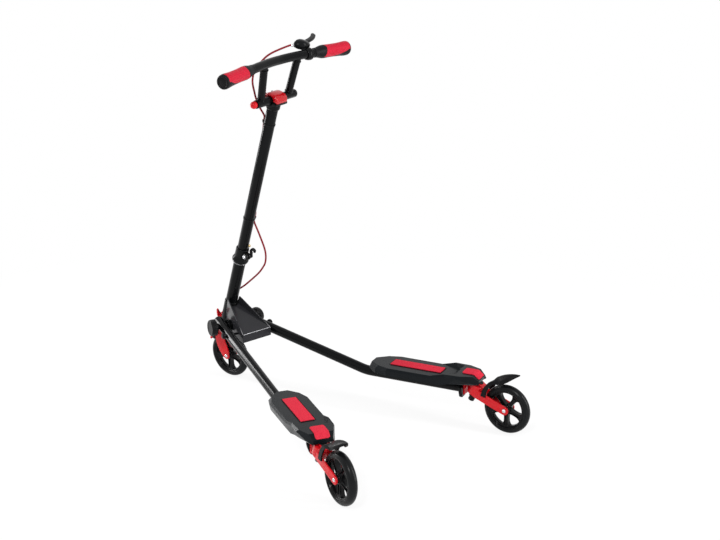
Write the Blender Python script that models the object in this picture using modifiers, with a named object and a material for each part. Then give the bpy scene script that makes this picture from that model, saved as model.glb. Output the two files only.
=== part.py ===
"""Three-wheeled swing scooter: a steered front wheel on a raked column, and two splayed
arms that each carry a foot platform and a trailing caster.

Metres, +X forward, +Y to the rider's left, +Z up. The bars are turned a little to the
left, and the origin is on the ground under the middle of the whole scooter.
"""
import math

import bmesh
import bpy
from mathutils import Euler, Matrix, Vector

# Clearances
GAP = 0.0003
BOLT_CLEARANCE = 0.0003

# Wheels, all three alike
WHEEL_RADIUS = 0.0625
TYRE_WIDTH = 0.023
RIM_RADIUS = 0.0500
RIM_WALL = 0.0065
RIM_WIDTH = 0.0200
HUB_RADIUS = 0.0125
WEB_THICKNESS = 0.0120
SPOKES = 5
SPOKE_WIDTH = 0.0100
AXLE_RADIUS = 0.0040
AXLE_HEAD_RADIUS = 0.0062
AXLE_HEAD_HEIGHT = 0.0020
BLADE_INSIDE = 0.0140
BLADE_THICKNESS = 0.0040

# Steering axis: where it meets the ground ahead of the front wheel's contact, and how
# far the wheel's centre lies behind the axis
AXIS_FOOT = 0.0583
RAKE = math.radians(19.3)
BARS_TURNED = math.radians(10.3)

# Heights along the steering axis
CROWN_BOTTOM = 0.1432
CROWN_THICKNESS = 0.0062
CROWN_RADIUS = 0.0180
HEADSET_RING = 0.0060
HEAD_TUBE_RADIUS = 0.0180
HEAD_TUBE_LENGTH = 0.0755
LOWER_TUBE_RADIUS = 0.0159
LOWER_TUBE_WALL = 0.0013
LOWER_TUBE_FLOOR = 0.2300
COLLAR_BOTTOM = 0.3620
COLLAR_HEIGHT = 0.0440
COLLAR_BULGE_RADIUS = 0.0215
COLLAR_BULGE_HEIGHT = 0.0090
COLLAR_NECK_RADIUS = 0.0192
COLLAR_SEAT = 0.0330
COLLAR_EAR_REACH = 0.0330
COLLAR_EAR_WIDTH = 0.0140
COLLAR_EAR_HEIGHT = 0.0180
COLLAR_TURNED = math.radians(-15)
COLLAR_SLOT = 0.0020
COLLAR_BOLT_RADIUS = 0.0030
UPPER_TUBE_RADIUS = 0.0143
UPPER_TUBE_WALL = 0.0015
UPPER_TUBE_BOTTOM = 0.2500
BUTTON_ABOVE_COLLAR = 0.0092
BUTTON_RADIUS = 0.0040
BUTTON_PROUD = 0.0048
BUTTON_ANGLE = math.radians(217)
CROSS_TUBE_HEIGHT = 0.8420

# Front fork, seen from the side and measured from the wheel's centre
FORK_FRONT_EDGE = [(0.0240, 0.0740), (0.0345, 0.0560), (0.0350, 0.0460), (0.0310, 0.0280),
                   (0.0220, 0.0095), (0.0110, -0.0045)]
FORK_REAR_EDGE = [(-0.0100, 0.0040), (-0.0090, 0.0140), (-0.0040, 0.0300), (0.0010, 0.0420),
                  (0.0050, 0.0600), (0.0100, 0.0740)]
FORK_END_RADIUS = 0.0100

# Front brake, on a bridge that rises from the fork crown ahead of the head tube
BRIDGE_CLEARANCE = 0.0012
BRIDGE_THICKNESS = 0.0024
BRIDGE_WIDTH = 0.0130
CALIPER_HEIGHT = 0.1700
CALIPER_THICKNESS = 0.0045
CALIPER_ARM_WIDTH = 0.0075
CALIPER_BOLT_RADIUS = 0.0026
CALIPER_BOSS_RADIUS = 0.0075
CALIPER_TIP_SPREAD = 0.0150
CALIPER_TIP_HEIGHT = 0.1960
PAD_HEIGHT = 0.1080
PAD_CLEARANCE = 0.0020
PAD_THICKNESS = 0.0045
PAD_LENGTH = 0.0110
PAD_DEPTH = 0.0090

# Handlebar: how far its middle lies above the cross tube, and its points in the column's
# own axes, their heights counted from that middle
BAR_RADIUS = 0.0111
BAR_RISE = 0.0995
BAR_HEIGHT = CROSS_TUBE_HEIGHT + BAR_RISE
BAR_MIDDLE = (0.0110, 0.0, BAR_HEIGHT)
BAR_POINTS = [(0.0095, 0.0250, BAR_HEIGHT + 0.0010), (0.0050, 0.0620, BAR_HEIGHT + 0.0025),
              (-0.0024, 0.1130, BAR_HEIGHT + 0.0035)]
BAR_END = (-0.0170, 0.2320, BAR_HEIGHT + 0.0015)
BAR_END_INSET = 0.0050
RISER_RADIUS = 0.0095
RISER_FOOT_SPREAD = 0.0505
RISER_TOP = (0.0040, 0.0620, BAR_HEIGHT + 0.0005)
CROSS_TUBE_RADIUS = 0.0105
CROSS_TUBE_HALF = 0.0700
BALL_RADIUS = 0.0093
CLAMP_WALL = 0.0068
CLAMP_WIDTH = 0.0420
CLAMP_EAR = 0.0070
CLAMP_EAR_THICKNESS = 0.0055
STEM_SOCKET_RADIUS = 0.0178
STEM_SOCKET_HEIGHT = 0.0260

# Grips
GRIP_LENGTH = 0.1190
GRIP_WALL = 0.0022
GRIP_FLANGE_RADIUS = 0.0160
GRIP_FLANGE = 0.0045
GRIP_SWELL_RADIUS = 0.0182

# Brake lever, in the column's own axes
BRAKE_RING_MIDDLE = 0.0940
BRAKE_RING_WIDTH = 0.0160
BRAKE_RING_WALL = 0.0035
BRAKE_BODY_SIZE = (0.0300, 0.0280, 0.0130)
BRAKE_BODY_MIDDLE = (0.0240, -0.0860, BAR_HEIGHT + 0.0150)
LEVER_PIVOT = (0.0320, -0.0880)
LEVER_THICKNESS = 0.0080
LEVER_CENTRE_LINE = [(0.0, 0.0), (0.0020, -0.0270), (0.0070, -0.0550), (0.0140, -0.0760),
                     (0.0240, -0.0910)]
LEVER_WIDTHS = [0.0130, 0.0120, 0.0122, 0.0124, 0.0110]
LEVER_SWING_ROOM = 0.0034
BARREL_RADIUS = 0.0034
BARREL_LENGTH = 0.0120
BARREL_ABOVE_LEVER = 0.0030

# Brake cable, in the column's own axes: its first stretch goes with the cross tube, and its
# heights are counted from there
CABLE_RADIUS = 0.00185
CABLE_STEP = 0.0110
CLIP_REACH = 0.0188
CLIP_WALL = 0.0020
CLIP_HEIGHT = 0.0060
UPPER_CLIP_DROP = 0.0690
UPPER_CLIP_ANGLE = 0.0
LOWER_CLIP_HEIGHT = 0.4970
LOWER_CLIP_ANGLE = math.radians(-99)
CABLE_FROM_BAR = [(0.0300, -0.0590, 0.1200), (0.0318, -0.0390, 0.1170), (0.0330, -0.0035, 0.1115),
                  (0.0310, 0.0235, 0.1065), (0.0280, 0.0430, 0.0990), (0.0250, 0.0600, 0.0900),
                  (0.0220, 0.0730, 0.0780), (0.0200, 0.0765, 0.0640), (0.0200, 0.0725, 0.0480),
                  (0.0196, 0.0620, 0.0270), (0.0200, 0.0460, 0.0), (0.0200, 0.0240, -0.0290),
                  (0.0189, 0.0050, -0.0510), (0.0188, 0.0000, -0.0620), (0.0188, 0.0000, -0.0760)]
CABLE_DOWN_TUBE = [(0.0187, -0.0022, 0.7300), (0.0178, -0.0060, 0.6800), (0.0158, -0.0102, 0.6300),
                   (0.0123, -0.0142, 0.5800), (0.0060, -0.0178, 0.5350), (-0.0025, -0.0186, 0.5100),
                   (-0.0029, -0.0186, 0.5010), (-0.0029, -0.0186, 0.4920)]
CABLE_LOWER_ROUTE = [(-0.0029, -0.0186, 0.4917), (-0.0029, -0.0186, 0.4860), (-0.0060, -0.0202, 0.4780),
                     (-0.0130, -0.0245, 0.4650), (-0.0240, -0.0320, 0.4425), (-0.0380, -0.0410, 0.4130),
                     (-0.0460, -0.0440, 0.3920), (-0.0500, -0.0430, 0.3720), (-0.0470, -0.0410, 0.3550),
                     (-0.0400, -0.0370, 0.3340), (-0.0210, -0.0310, 0.2985), (-0.0100, -0.0280, 0.2800),
                     (0.0000, -0.0250, 0.2660), (0.0110, -0.0215, 0.2520), (0.0195, -0.0185, 0.2380),
                     (0.0240, -0.0165, 0.2240), (0.0250, -0.0155, 0.2100)]

# Quick-release lever, seen from behind and measured from its pin
QR_PIN = (-0.0240, -0.0122, COLLAR_BOTTOM + 0.0310)
QR_THICKNESS = 0.0070
QR_CENTRE_LINE = [(0.0000, 0.0000), (0.0003, 0.0095), (0.0026, 0.0145), (0.0004, 0.0190),
                  (-0.0050, 0.0196), (-0.0092, 0.0150), (-0.0094, 0.0085)]
QR_WIDTHS = [0.0090, 0.0068, 0.0062, 0.0062, 0.0062, 0.0060, 0.0052]

# Body: a folded wedge between the arms, seen from the side
BODY_BOTTOM = 0.1410
BODY_REAR = -0.1270
BODY_REAR_HALF_WIDTH = 0.0476
BODY_REAR_TOP = 0.1640
BODY_APEX = (-0.0300, 0.2340)
BODY_LID_SLOPE = math.radians(26.6)
BODY_WALL = 0.0030

# Arms
ARM_SPLAY = math.radians(15.6)
DECK_SPLAY = math.radians(21.5)
ARM_RADIUS = 0.0127
ARM_WALL = 0.0015
ARM_PIVOT = (-0.0385, 0.0469, 0.1655)
ARM_NOSE = 0.0317
ARM_RUN = 0.3698
ARM_REAR_HEIGHT = 0.0925
ARM_BEND_RADIUS = 0.1500
KING_FROM_BEND = 0.30405
ARM_END = 0.0363
ARM_STOP_LENGTH = 0.0080
ARM_STOP_HALF_WIDTH = 0.0140
ARM_STOP_BOTTOM = 0.0685
ARM_STOP_TOP = 0.0950
PIVOT_BOLT_RADIUS = 0.0050
PIVOT_BOLT_HEAD_RADIUS = 0.0095
PIVOT_BOLT_HEAD = 0.0050
SPACER_RADIUS = 0.0150
KNOB_RADIUS = 0.0225
KNOB_FACE = 0.0360
KNOB_DEPTH = 0.0190
KNOB_BOSS_RADIUS = 0.0100
KNOB_RIBS = 16
KNOB_RIB_DEPTH = 0.0012
PIN_DISTANCE = 0.0514
PIN_RISE = 0.0030
PIN_RADIUS = 0.0030
PIN_KNOB_RADIUS = 0.0085
PIN_KNOB_FACE = 0.0225
PIN_KNOB_DEPTH = 0.0090

# Foot platforms: stations along the arm from the kingpin, each with the half width of the
# skirt, of the side and of the top, then how far the skirt's foot lies above the arm, and
# the heights of the side's edge and of the top
DECK_STATIONS = [(0.286, 0.0130, 0.0160, 0.0140, 0.0030, 0.1235, 0.1265),
                 (0.278, 0.0215, 0.0245, 0.0222, 0.0030, 0.1245, 0.1280),
                 (0.232, 0.0465, 0.0500, 0.0478, 0.0015, 0.1235, 0.1268),
                 (0.115, 0.0455, 0.0490, 0.0465, 0.0000, 0.1235, 0.1268),
                 (0.089, 0.0440, 0.0483, 0.0455, 0.0000, 0.1240, 0.1268),
                 (0.072, 0.0425, 0.0475, 0.0440, 0.0000, 0.1250, 0.1280),
                 (0.047, 0.0385, 0.0455, 0.0415, 0.0000, 0.1300, 0.1365),
                 (0.026, 0.0350, 0.0430, 0.0390, 0.0000, 0.1300, 0.1370),
                 (0.002, 0.0280, 0.0345, 0.0300, 0.0000, 0.1290, 0.1370),
                 (-0.012, 0.0250, 0.0290, 0.0240, 0.0045, 0.1200, 0.1262),
                 (-0.018, 0.0210, 0.0240, 0.0190, 0.0065, 0.1150, 0.1190)]
DECK_POCKET_START = 0.0750
DECK_POCKET_END = 0.2250
DECK_POCKET_INSIDE = 0.0170
DECK_POCKET_OUTSIDE = 0.0420
DECK_ROOF = 0.0045
FRONT_PAD = (0.0915, 0.2290)
FRONT_PAD_HALF_WIDTH = 0.0160
PAD_SHEET = 0.0024
REAR_PAD_FRONT = 0.0340
REAR_PAD_HALF_WIDTH = 0.0170

# Casters
CASTER_SPLAY = math.radians(12.4)
CASTER_LEAN = math.radians(25)
HEAD_CENTRE_HEIGHT = 0.0970
SWIVEL_RADIUS = 0.0200
SWIVEL_HEIGHT = 0.0300
CASTER_TRAIL = 0.0870
BLADE_TOP = (-0.0050, 0.0890)
BLADE_END_RADIUS = 0.0113
BRACKET_WALL = 0.0040
BRACKET_HALF_WIDTH = 0.0150
BRACKET_FRONT = 0.0360
BRACKET_PLATE = 0.0060
BRACKET_BOTTOM = 0.0750
BRACKET_SHOULDER = 0.1080
KINGPIN_RADIUS = 0.0060
KINGPIN_HEAD_RADIUS = 0.0090
KINGPIN_HEAD = 0.0020
KINGPIN_NUT_RADIUS = 0.0080
KINGPIN_TAIL = 0.0220
POCKET_CLEARANCE = 0.0030

# Mudguards, seen from the side and measured from the wheel's centre
GUARD_LINE = [(0.0674, 0.0143), (0.0639, 0.0250), (0.0536, 0.0438), (0.0410, 0.0617),
              (0.0255, 0.0742), (0.0080, 0.0818), (-0.0110, 0.0852), (-0.0320, 0.0850)]
GUARD_THICKNESS = [0.0135, 0.0134, 0.0130, 0.0120, 0.0110, 0.0095, 0.0070, 0.0036]
GUARD_LEAF_HALF = 0.0150
GUARD_LEG_WIDTH = 0.0035

# Finishes: colour, roughness, metallic
BLACK_PAINT = ("black_paint", (0.016, 0.017, 0.019), 0.30, 0.2)
RED_PAINT = ("red_paint", (0.72, 0.012, 0.018), 0.25, 0.2)
STEEL = ("zinc_steel", (0.62, 0.62, 0.63), 0.32, 1.0)
BRASS = ("brass", (0.72, 0.58, 0.30), 0.30, 1.0)
TYRE_RUBBER = ("tyre_urethane", (0.045, 0.047, 0.050), 0.35, 0.0)
HUB_PLASTIC = ("hub_plastic", (0.013, 0.014, 0.016), 0.30, 0.0)
BLACK_PLASTIC = ("black_plastic", (0.018, 0.018, 0.020), 0.55, 0.0)
DECK_PLASTIC = ("deck_plastic", (0.042, 0.048, 0.055), 0.60, 0.0)
GRIT = ("grip_tape", (0.80, 0.055, 0.085), 0.85, 0.0)
GRIP_RUBBER = ("grip_rubber", (0.60, 0.018, 0.040), 0.65, 0.0)
CABLE_JACKET = ("cable_jacket", (0.25, 0.030, 0.038), 0.45, 0.0)
PAD_RUBBER = ("pad_rubber", (0.030, 0.030, 0.032), 0.80, 0.0)

TURNING = {"Z": Euler((0, 0, 0)), "Y": Euler((-math.pi / 2, 0, 0)), "X": Euler((0, math.pi / 2, 0))}
FACING = {"Z": Euler((0, 0, 0)), "Y": Euler((math.pi / 2, 0, 0)),
          "X": Euler((math.pi / 2, 0, math.pi / 2))}
ROUND_STEPS = 20
WHEEL_STEPS = 32


def start_empty():
    """Removes what the scene holds and makes the two collections."""
    for old in list(bpy.data.objects):
        bpy.data.objects.remove(old, do_unlink=True)
    for name in ("swing_scooter", "cutters"):
        collection = bpy.data.collections.new(name)
        bpy.context.scene.collection.children.link(collection)


start_empty()
PARTS = bpy.data.collections["swing_scooter"]
CUTTERS = bpy.data.collections["cutters"]


def finish_material(finish):
    """The Principled material of a finish, made once."""
    name, colour, roughness, metallic = finish
    material = bpy.data.materials.get(name)
    if material is None:
        material = bpy.data.materials.new(name)
        material.use_nodes = True
        shader = material.node_tree.nodes["Principled BSDF"]
        shader.inputs["Base Color"].default_value = (*colour, 1.0)
        shader.inputs["Roughness"].default_value = roughness
        shader.inputs["Metallic"].default_value = metallic
    return material


def frame_empty(name, parent, location, rotation=(0.0, 0.0, 0.0)):
    """An empty that carries the pieces of one moving group."""
    empty = bpy.data.objects.new(name, None)
    empty.parent = parent
    empty.location = location
    empty.rotation_euler = rotation
    empty.empty_display_size = 0.03
    PARTS.objects.link(empty)
    return empty


def meshed(guide, turn, at):
    """A guide's evaluated shape as a plain mesh object, turned and moved into its place."""
    CUTTERS.objects.link(guide)
    guide.rotation_euler = turn
    guide.location = at
    bpy.context.view_layer.update()
    evaluated = guide.evaluated_get(bpy.context.evaluated_depsgraph_get())
    mesh = bpy.data.meshes.new_from_object(evaluated)
    mesh.transform(guide.matrix_world)
    shape = bmesh.new()
    shape.from_mesh(mesh)
    bmesh.ops.remove_doubles(shape, verts=shape.verts, dist=0.000001)
    shape.to_mesh(mesh)
    shape.free()
    mesh.shade_smooth()
    mesh.set_sharp_from_angle(angle=math.radians(35))
    piece = bpy.data.objects.new(guide.name, mesh)
    bpy.data.objects.remove(guide)
    return piece


def flat(name, outlines, thickness, facing="Z", at=(0.0, 0.0, 0.0)):
    """A flat outline with any holes in it, as thick as given along the axis it faces."""
    curve = bpy.data.curves.new(name, "CURVE")
    curve.dimensions = "2D"
    curve.fill_mode = "BOTH"
    curve.extrude = thickness / 2
    for outline in outlines:
        spline = curve.splines.new("POLY")
        spline.points.add(len(outline) - 1)
        for point, (across, along) in zip(spline.points, outline):
            point.co = (across, along, 0.0, 1.0)
        spline.use_cyclic_u = True
    return meshed(bpy.data.objects.new(name, curve), FACING[facing], at)


def turned(name, profile, axis="Z", at=(0.0, 0.0, 0.0), steps=ROUND_STEPS, closed=False):
    """A turned piece: its profile is (radius, height) pairs down the outer side."""
    mesh = bpy.data.meshes.new(name)
    edges = [(i, i + 1) for i in range(len(profile) - 1)]
    if closed:
        edges.append((len(profile) - 1, 0))
    mesh.from_pydata([(radius, 0.0, height) for radius, height in profile], edges, [])
    guide = bpy.data.objects.new(name, mesh)
    screw = guide.modifiers.new("turn", "SCREW")
    screw.steps = steps
    screw.render_steps = steps
    screw.use_merge_vertices = True
    screw.merge_threshold = 0.00001
    return meshed(guide, TURNING[axis], at)


def rod(name, radius, low, high, axis="Z", at=(0.0, 0.0, 0.0), steps=ROUND_STEPS):
    """A plain cylinder between two heights on its axis."""
    return turned(name, [(0.0, high), (radius, high), (radius, low), (0.0, low)], axis, at, steps)


def pipe(name, points, radius, sides=3):
    """A round bar along points."""
    curve = bpy.data.curves.new(name, "CURVE")
    curve.dimensions = "3D"
    curve.bevel_depth = radius
    curve.bevel_resolution = sides
    curve.use_fill_caps = True
    spline = curve.splines.new("POLY")
    spline.points.add(len(points) - 1)
    for point, place in zip(spline.points, points):
        point.co = (*place, 1.0)
    return meshed(bpy.data.objects.new(name, curve), Euler(), (0.0, 0.0, 0.0))


def box(name, low, high):
    """A box between two corners."""
    mesh = bpy.data.meshes.new(name)
    shape = bmesh.new()
    bmesh.ops.create_cube(shape, size=1.0)
    for vertex in shape.verts:
        vertex.co = [low[i] + (vertex.co[i] + 0.5) * (high[i] - low[i]) for i in range(3)]
    shape.to_mesh(mesh)
    shape.free()
    return bpy.data.objects.new(name, mesh)


def lofted(name, rings):
    """A closed solid through rings of as many points each, which no modifier makes."""
    mesh = bpy.data.meshes.new(name)
    shape = bmesh.new()
    loops = [[shape.verts.new(point) for point in ring] for ring in rings]
    for near, far in zip(loops, loops[1:]):
        for i in range(len(near)):
            j = (i + 1) % len(near)
            shape.faces.new((near[i], near[j], far[j], far[i]))
    shape.faces.new(reversed(loops[0]))
    shape.faces.new(loops[-1])
    bmesh.ops.recalc_face_normals(shape, faces=shape.faces)
    shape.to_mesh(mesh)
    shape.free()
    return bpy.data.objects.new(name, mesh)


def worked(piece, tool, operation):
    """Joins a tool to a piece, cuts it out of the piece, or keeps what both share."""
    modifier = piece.modifiers.new(operation.lower(), "BOOLEAN")
    modifier.operation = operation
    modifier.object = tool
    CUTTERS.objects.link(tool)
    tool.parent = piece
    tool.hide_render = True
    tool.display_type = "WIRE"
    return piece


def place(piece, name, finish, parent, location=(0.0, 0.0, 0.0), rotation=(0.0, 0.0, 0.0)):
    """Puts a finished piece into its group, with its name and its finish."""
    piece.name = name
    piece.data.materials.clear()
    piece.data.materials.append(finish_material(finish))
    PARTS.objects.link(piece)
    piece.parent = parent
    piece.location = location
    piece.rotation_euler = rotation
    return piece


def arc(centre, radius, start, end, steps):
    """Points on an arc, its angles in degrees."""
    points = []
    for step in range(steps + 1):
        angle = math.radians(start + (end - start) * step / steps)
        points.append((centre[0] + radius * math.cos(angle), centre[1] + radius * math.sin(angle)))
    return points


def circle(centre, radius, steps=16):
    """A closed round outline."""
    return arc(centre, radius, 0, 360 - 360 / steps, steps - 1)


def ribbon(line, widths):
    """The outline of a flat strip along a centre line, with its width at each point."""
    left = []
    right = []
    for i, (x, y) in enumerate(line):
        before = Vector(line[max(i - 1, 0)])
        after = Vector(line[min(i + 1, len(line) - 1)])
        along = (after - before).normalized()
        across = Vector((-along.y, along.x)) * widths[i] / 2
        left.append((x + across.x, y + across.y))
        right.append((x - across.x, y - across.y))
    return left + right[::-1]


def smooth_route(points, step):
    """Points at even steps on a smooth curve through a route's own points."""
    places = [Vector(point) for point in points]
    ends = [2 * places[0] - places[1]] + places + [2 * places[-1] - places[-2]]
    route = [places[0]]
    for before, start, end, after in zip(ends, ends[1:], ends[2:], ends[3:]):
        pieces = max(2, round((end - start).length / step))
        for i in range(1, pieces + 1):
            t = i / pieces
            route.append(0.5 * (2 * start + (end - before) * t
                                + (2 * before - 5 * start + 4 * end - after) * t * t
                                + (3 * start - before - 3 * end + after) * t * t * t))
    return route


def rounded_corner(before, corner, after, radius, steps):
    """The points of an arc that rounds the corner between two straight runs."""
    back = (Vector(before) - Vector(corner)).normalized()
    ahead = (Vector(after) - Vector(corner)).normalized()
    half = back.angle(ahead) / 2
    reach = radius / math.tan(half)
    middle = Vector(corner) + (back + ahead).normalized() * radius / math.sin(half)
    start = Vector(corner) + back * reach - middle
    end = Vector(corner) + ahead * reach - middle
    axis = start.cross(end).normalized()
    sweep = start.angle(end)
    return [middle + Matrix.Rotation(sweep * i / steps, 3, axis) @ start for i in range(steps + 1)]


def column_matrix(turn):
    """The column's axes in the scooter's: Z up the steering axis, X ahead, Y left."""
    lean = Matrix.Rotation(-RAKE, 4, "Y")
    return Matrix.Translation((AXIS_FOOT, 0, 0)) @ lean @ Matrix.Rotation(turn, 4, "Z")


def in_column(ahead, up):
    """A place in the scooter's middle plane, bars straight, in the column's axes."""
    return column_matrix(0.0).inverted() @ Vector((ahead, 0.0, up))


def lowest_of_front_wheel(centre_height):
    """How high the turned, leaning front wheel's lowest point then is."""
    turned_column = column_matrix(BARS_TURNED)
    centre = turned_column @ in_column(0.0, centre_height)
    axle = turned_column.to_3x3() @ Vector((0.0, 1.0, 0.0))
    crown = TYRE_WIDTH / 2
    return centre.z - (WHEEL_RADIUS - crown) * math.sqrt(1 - axle.z ** 2) - crown


# The turned wheel leans, so its centre is set where the tyre just meets the ground
front_centre_height = WHEEL_RADIUS - lowest_of_front_wheel(WHEEL_RADIUS)
front_centre = in_column(0.0, front_centre_height)

crown_top = CROWN_BOTTOM + CROWN_THICKNESS
head_tube_bottom = crown_top + GAP + HEADSET_RING + GAP
head_tube_top = head_tube_bottom + HEAD_TUBE_LENGTH
collar_top = COLLAR_BOTTOM + COLLAR_HEIGHT
lower_tube_top = COLLAR_BOTTOM + COLLAR_SEAT
lower_bore = LOWER_TUBE_RADIUS - LOWER_TUBE_WALL
upper_bore = UPPER_TUBE_RADIUS - UPPER_TUBE_WALL
blade_outside = BLADE_INSIDE + BLADE_THICKNESS
hub_half = BLADE_INSIDE - GAP
arm_slope = math.atan2(ARM_PIVOT[2] - ARM_REAR_HEIGHT, ARM_RUN)
deck_turn = DECK_SPLAY - ARM_SPLAY
caster_turn = DECK_SPLAY - CASTER_SPLAY

ground = frame_empty("ground_middle", None, (0.0, 0.0, 0.0))
column_parts = column_matrix(BARS_TURNED)
steering = frame_empty("steering_axis", ground, column_parts.translation, column_parts.to_euler())
front_axle = frame_empty("front_axle_line", steering, front_centre, (0.0, RAKE, 0.0))


# Wheels: a cast urethane tyre on a five-spoke hub that turns on a bolt
def wheel(prefix, parent, at):
    crown = TYRE_WIDTH / 2
    section = arc((WHEEL_RADIUS - crown, 0.0), crown, 90, -90, 6)
    section = [(RIM_RADIUS, crown)] + section + [(RIM_RADIUS, -crown)]
    tyre = turned("tyre", section, "Y", steps=WHEEL_STEPS, closed=True)
    place(tyre, prefix + "_tyre", TYRE_RUBBER, parent, at)
    seat = RIM_RADIUS - GAP
    rim_inside = seat - RIM_WALL
    half = RIM_WIDTH / 2
    rim = [(seat, half), (seat, -half), (rim_inside, -half), (rim_inside, half)]
    hub = turned("hub", rim, "Y", steps=WHEEL_STEPS, closed=True)
    outline = circle((0.0, 0.0), seat - RIM_WALL / 2, WHEEL_STEPS)
    windows = []
    for spoke in range(SPOKES):
        windows.append(spoke_window(90 + 360 * spoke / SPOKES, rim_inside - GAP))
    web = flat("web", [outline] + windows, WEB_THICKNESS, "Y")
    worked(hub, web, "UNION")
    worked(hub, rod("boss", HUB_RADIUS, -hub_half, hub_half, "Y"), "UNION")
    bore = AXLE_RADIUS + BOLT_CLEARANCE
    worked(hub, rod("bore", bore, -2 * hub_half, 2 * hub_half, "Y", steps=16), "DIFFERENCE")
    place(hub, prefix + "_hub", HUB_PLASTIC, parent, at)


def spoke_window(middle, outside):
    """The opening between two spokes, its middle at an angle in degrees."""
    inside = HUB_RADIUS + 0.0015
    half_angle = 180 / SPOKES
    outer_cut = math.degrees(math.asin(SPOKE_WIDTH / 2 / outside))
    inner_cut = math.degrees(math.asin(SPOKE_WIDTH / 2 / inside))
    middle += half_angle
    outer = arc((0.0, 0.0), outside, middle - half_angle + outer_cut, middle + half_angle - outer_cut, 6)
    inner = arc((0.0, 0.0), inside, middle + half_angle - inner_cut, middle - half_angle + inner_cut, 2)
    return outer + inner


def axle(name, parent, at):
    """A bolt from the outside of one blade to the outside of the other."""
    head = blade_outside + GAP
    tip = head + AXLE_HEAD_HEIGHT
    profile = [(0.0, tip), (AXLE_HEAD_RADIUS - 0.0008, tip), (AXLE_HEAD_RADIUS, tip - 0.0008),
               (AXLE_HEAD_RADIUS, head), (AXLE_RADIUS, head), (AXLE_RADIUS, -head),
               (AXLE_HEAD_RADIUS, -head), (AXLE_HEAD_RADIUS, -tip), (0.0, -tip)]
    place(turned("axle", profile, "Y"), name, STEEL, parent, at)


wheel("front", front_axle, (0.0, 0.0, 0.0))
axle("front_axle", front_axle, (0.0, 0.0, 0.0))


# Front fork: two leaf-shaped blades under a crown, with the brake's bridge ahead of it
def front_fork():
    end = arc((0.0, 0.0), FORK_END_RADIUS, -50, -200, 7)
    outline = FORK_FRONT_EDGE[:-1] + end + FORK_REAR_EDGE[1:]
    hole = circle((0.0, 0.0), AXLE_RADIUS + BOLT_CLEARANCE)
    middle = BLADE_INSIDE + BLADE_THICKNESS / 2
    upright = Matrix.Translation(front_centre) @ Matrix.Rotation(RAKE, 4, "Y")
    low = [(CROWN_RADIUS, CROWN_BOTTOM), (CROWN_RADIUS - 0.0015, CROWN_BOTTOM - 0.0015)]
    profile = [(0.0, crown_top), (CROWN_RADIUS, crown_top)] + low + [(0.0, low[-1][1])]
    fork = turned("crown", profile)
    for side in (1, -1):
        blade = flat("blade", [outline, hole], BLADE_THICKNESS, "Y", (0.0, side * middle, 0.0))
        blade.data.transform(upright)
        worked(fork, blade, "UNION")
    shoulder_low = front_centre.z + WHEEL_RADIUS + 0.0035
    bridge_back = HEAD_TUBE_RADIUS + BRIDGE_CLEARANCE
    bridge_front = bridge_back + BRIDGE_THICKNESS
    half = BRIDGE_WIDTH / 2
    inset = blade_outside - 0.0006
    shoulder = box("shoulder", (-0.0020, -inset, CROWN_BOTTOM - 0.0090),
                   (CROWN_RADIUS - 0.0030, inset, crown_top - 0.0010))
    if shoulder_low > crown_top:
        raise ValueError("the front wheel is too large for its fork crown")
    worked(fork, shoulder, "UNION")
    foot = box("bridge_foot", (CROWN_RADIUS - 0.0060, -half, CROWN_BOTTOM - 0.0005),
               (bridge_front, half, crown_top - 0.0006))
    worked(fork, foot, "UNION")
    upstand = [(-half, CROWN_BOTTOM + 0.0002), (half, CROWN_BOTTOM + 0.0002)]
    upstand += arc((0.0, CALIPER_HEIGHT), half, 0, 180, 8)
    bolt_hole = circle((0.0, CALIPER_HEIGHT), CALIPER_BOLT_RADIUS + BOLT_CLEARANCE, 12)
    middle = (bridge_back + bridge_front) / 2
    worked(fork, flat("bridge", [upstand, bolt_hole], BRIDGE_THICKNESS, "X", (middle, 0.0, 0.0)), "UNION")
    place(fork, "front_fork", RED_PAINT, steering)


front_fork()

# Caliper: two crossed arms on one bolt, each with a rubber pad beside the tyre
pad_face = TYRE_WIDTH / 2 + PAD_CLEARANCE
arm_line = pad_face + PAD_THICKNESS + GAP + CALIPER_ARM_WIDTH / 2
bridge_face = HEAD_TUBE_RADIUS + BRIDGE_CLEARANCE + BRIDGE_THICKNESS
for layer, (word, side) in enumerate((("left", 1), ("right", -1))):
    back = bridge_face + GAP + layer * (CALIPER_THICKNESS + GAP)
    drop = PAD_HEIGHT - CALIPER_HEIGHT
    rise = CALIPER_TIP_HEIGHT - CALIPER_HEIGHT
    line = [(side * arm_line, drop - PAD_DEPTH / 2), (side * arm_line, drop + 0.0140),
            (side * (arm_line - 0.0020), drop + 0.0320), (side * 0.0120, -0.0130), (0.0, 0.0),
            (-side * 0.0080, rise * 0.45), (-side * CALIPER_TIP_SPREAD, rise)]
    widths = [CALIPER_ARM_WIDTH, CALIPER_ARM_WIDTH, CALIPER_ARM_WIDTH, 0.0120, 0.0140, 0.0100, 0.0050]
    hole = circle((0.0, 0.0), CALIPER_BOLT_RADIUS + BOLT_CLEARANCE, 12)
    outline = ribbon(line, widths)
    pivot = (back + CALIPER_THICKNESS / 2, 0.0, CALIPER_HEIGHT)
    swing = frame_empty("caliper_swing_" + word, steering, pivot)
    place(flat("arm", [outline, hole], CALIPER_THICKNESS, "X"), "caliper_arm_" + word, RED_PAINT, swing)
    low = (-PAD_LENGTH + CALIPER_THICKNESS / 2, pad_face, drop - PAD_DEPTH / 2)
    high = (CALIPER_THICKNESS / 2, pad_face + PAD_THICKNESS, drop + PAD_DEPTH / 2)
    corners = sorted((side * low[1], side * high[1]))
    pad = box("pad", (low[0], corners[0], low[2]), (high[0], corners[1], high[2]))
    place(pad, "brake_pad_" + word, PAD_RUBBER, swing)
caliper_stack = bridge_face + 2 * (CALIPER_THICKNESS + GAP)
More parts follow.
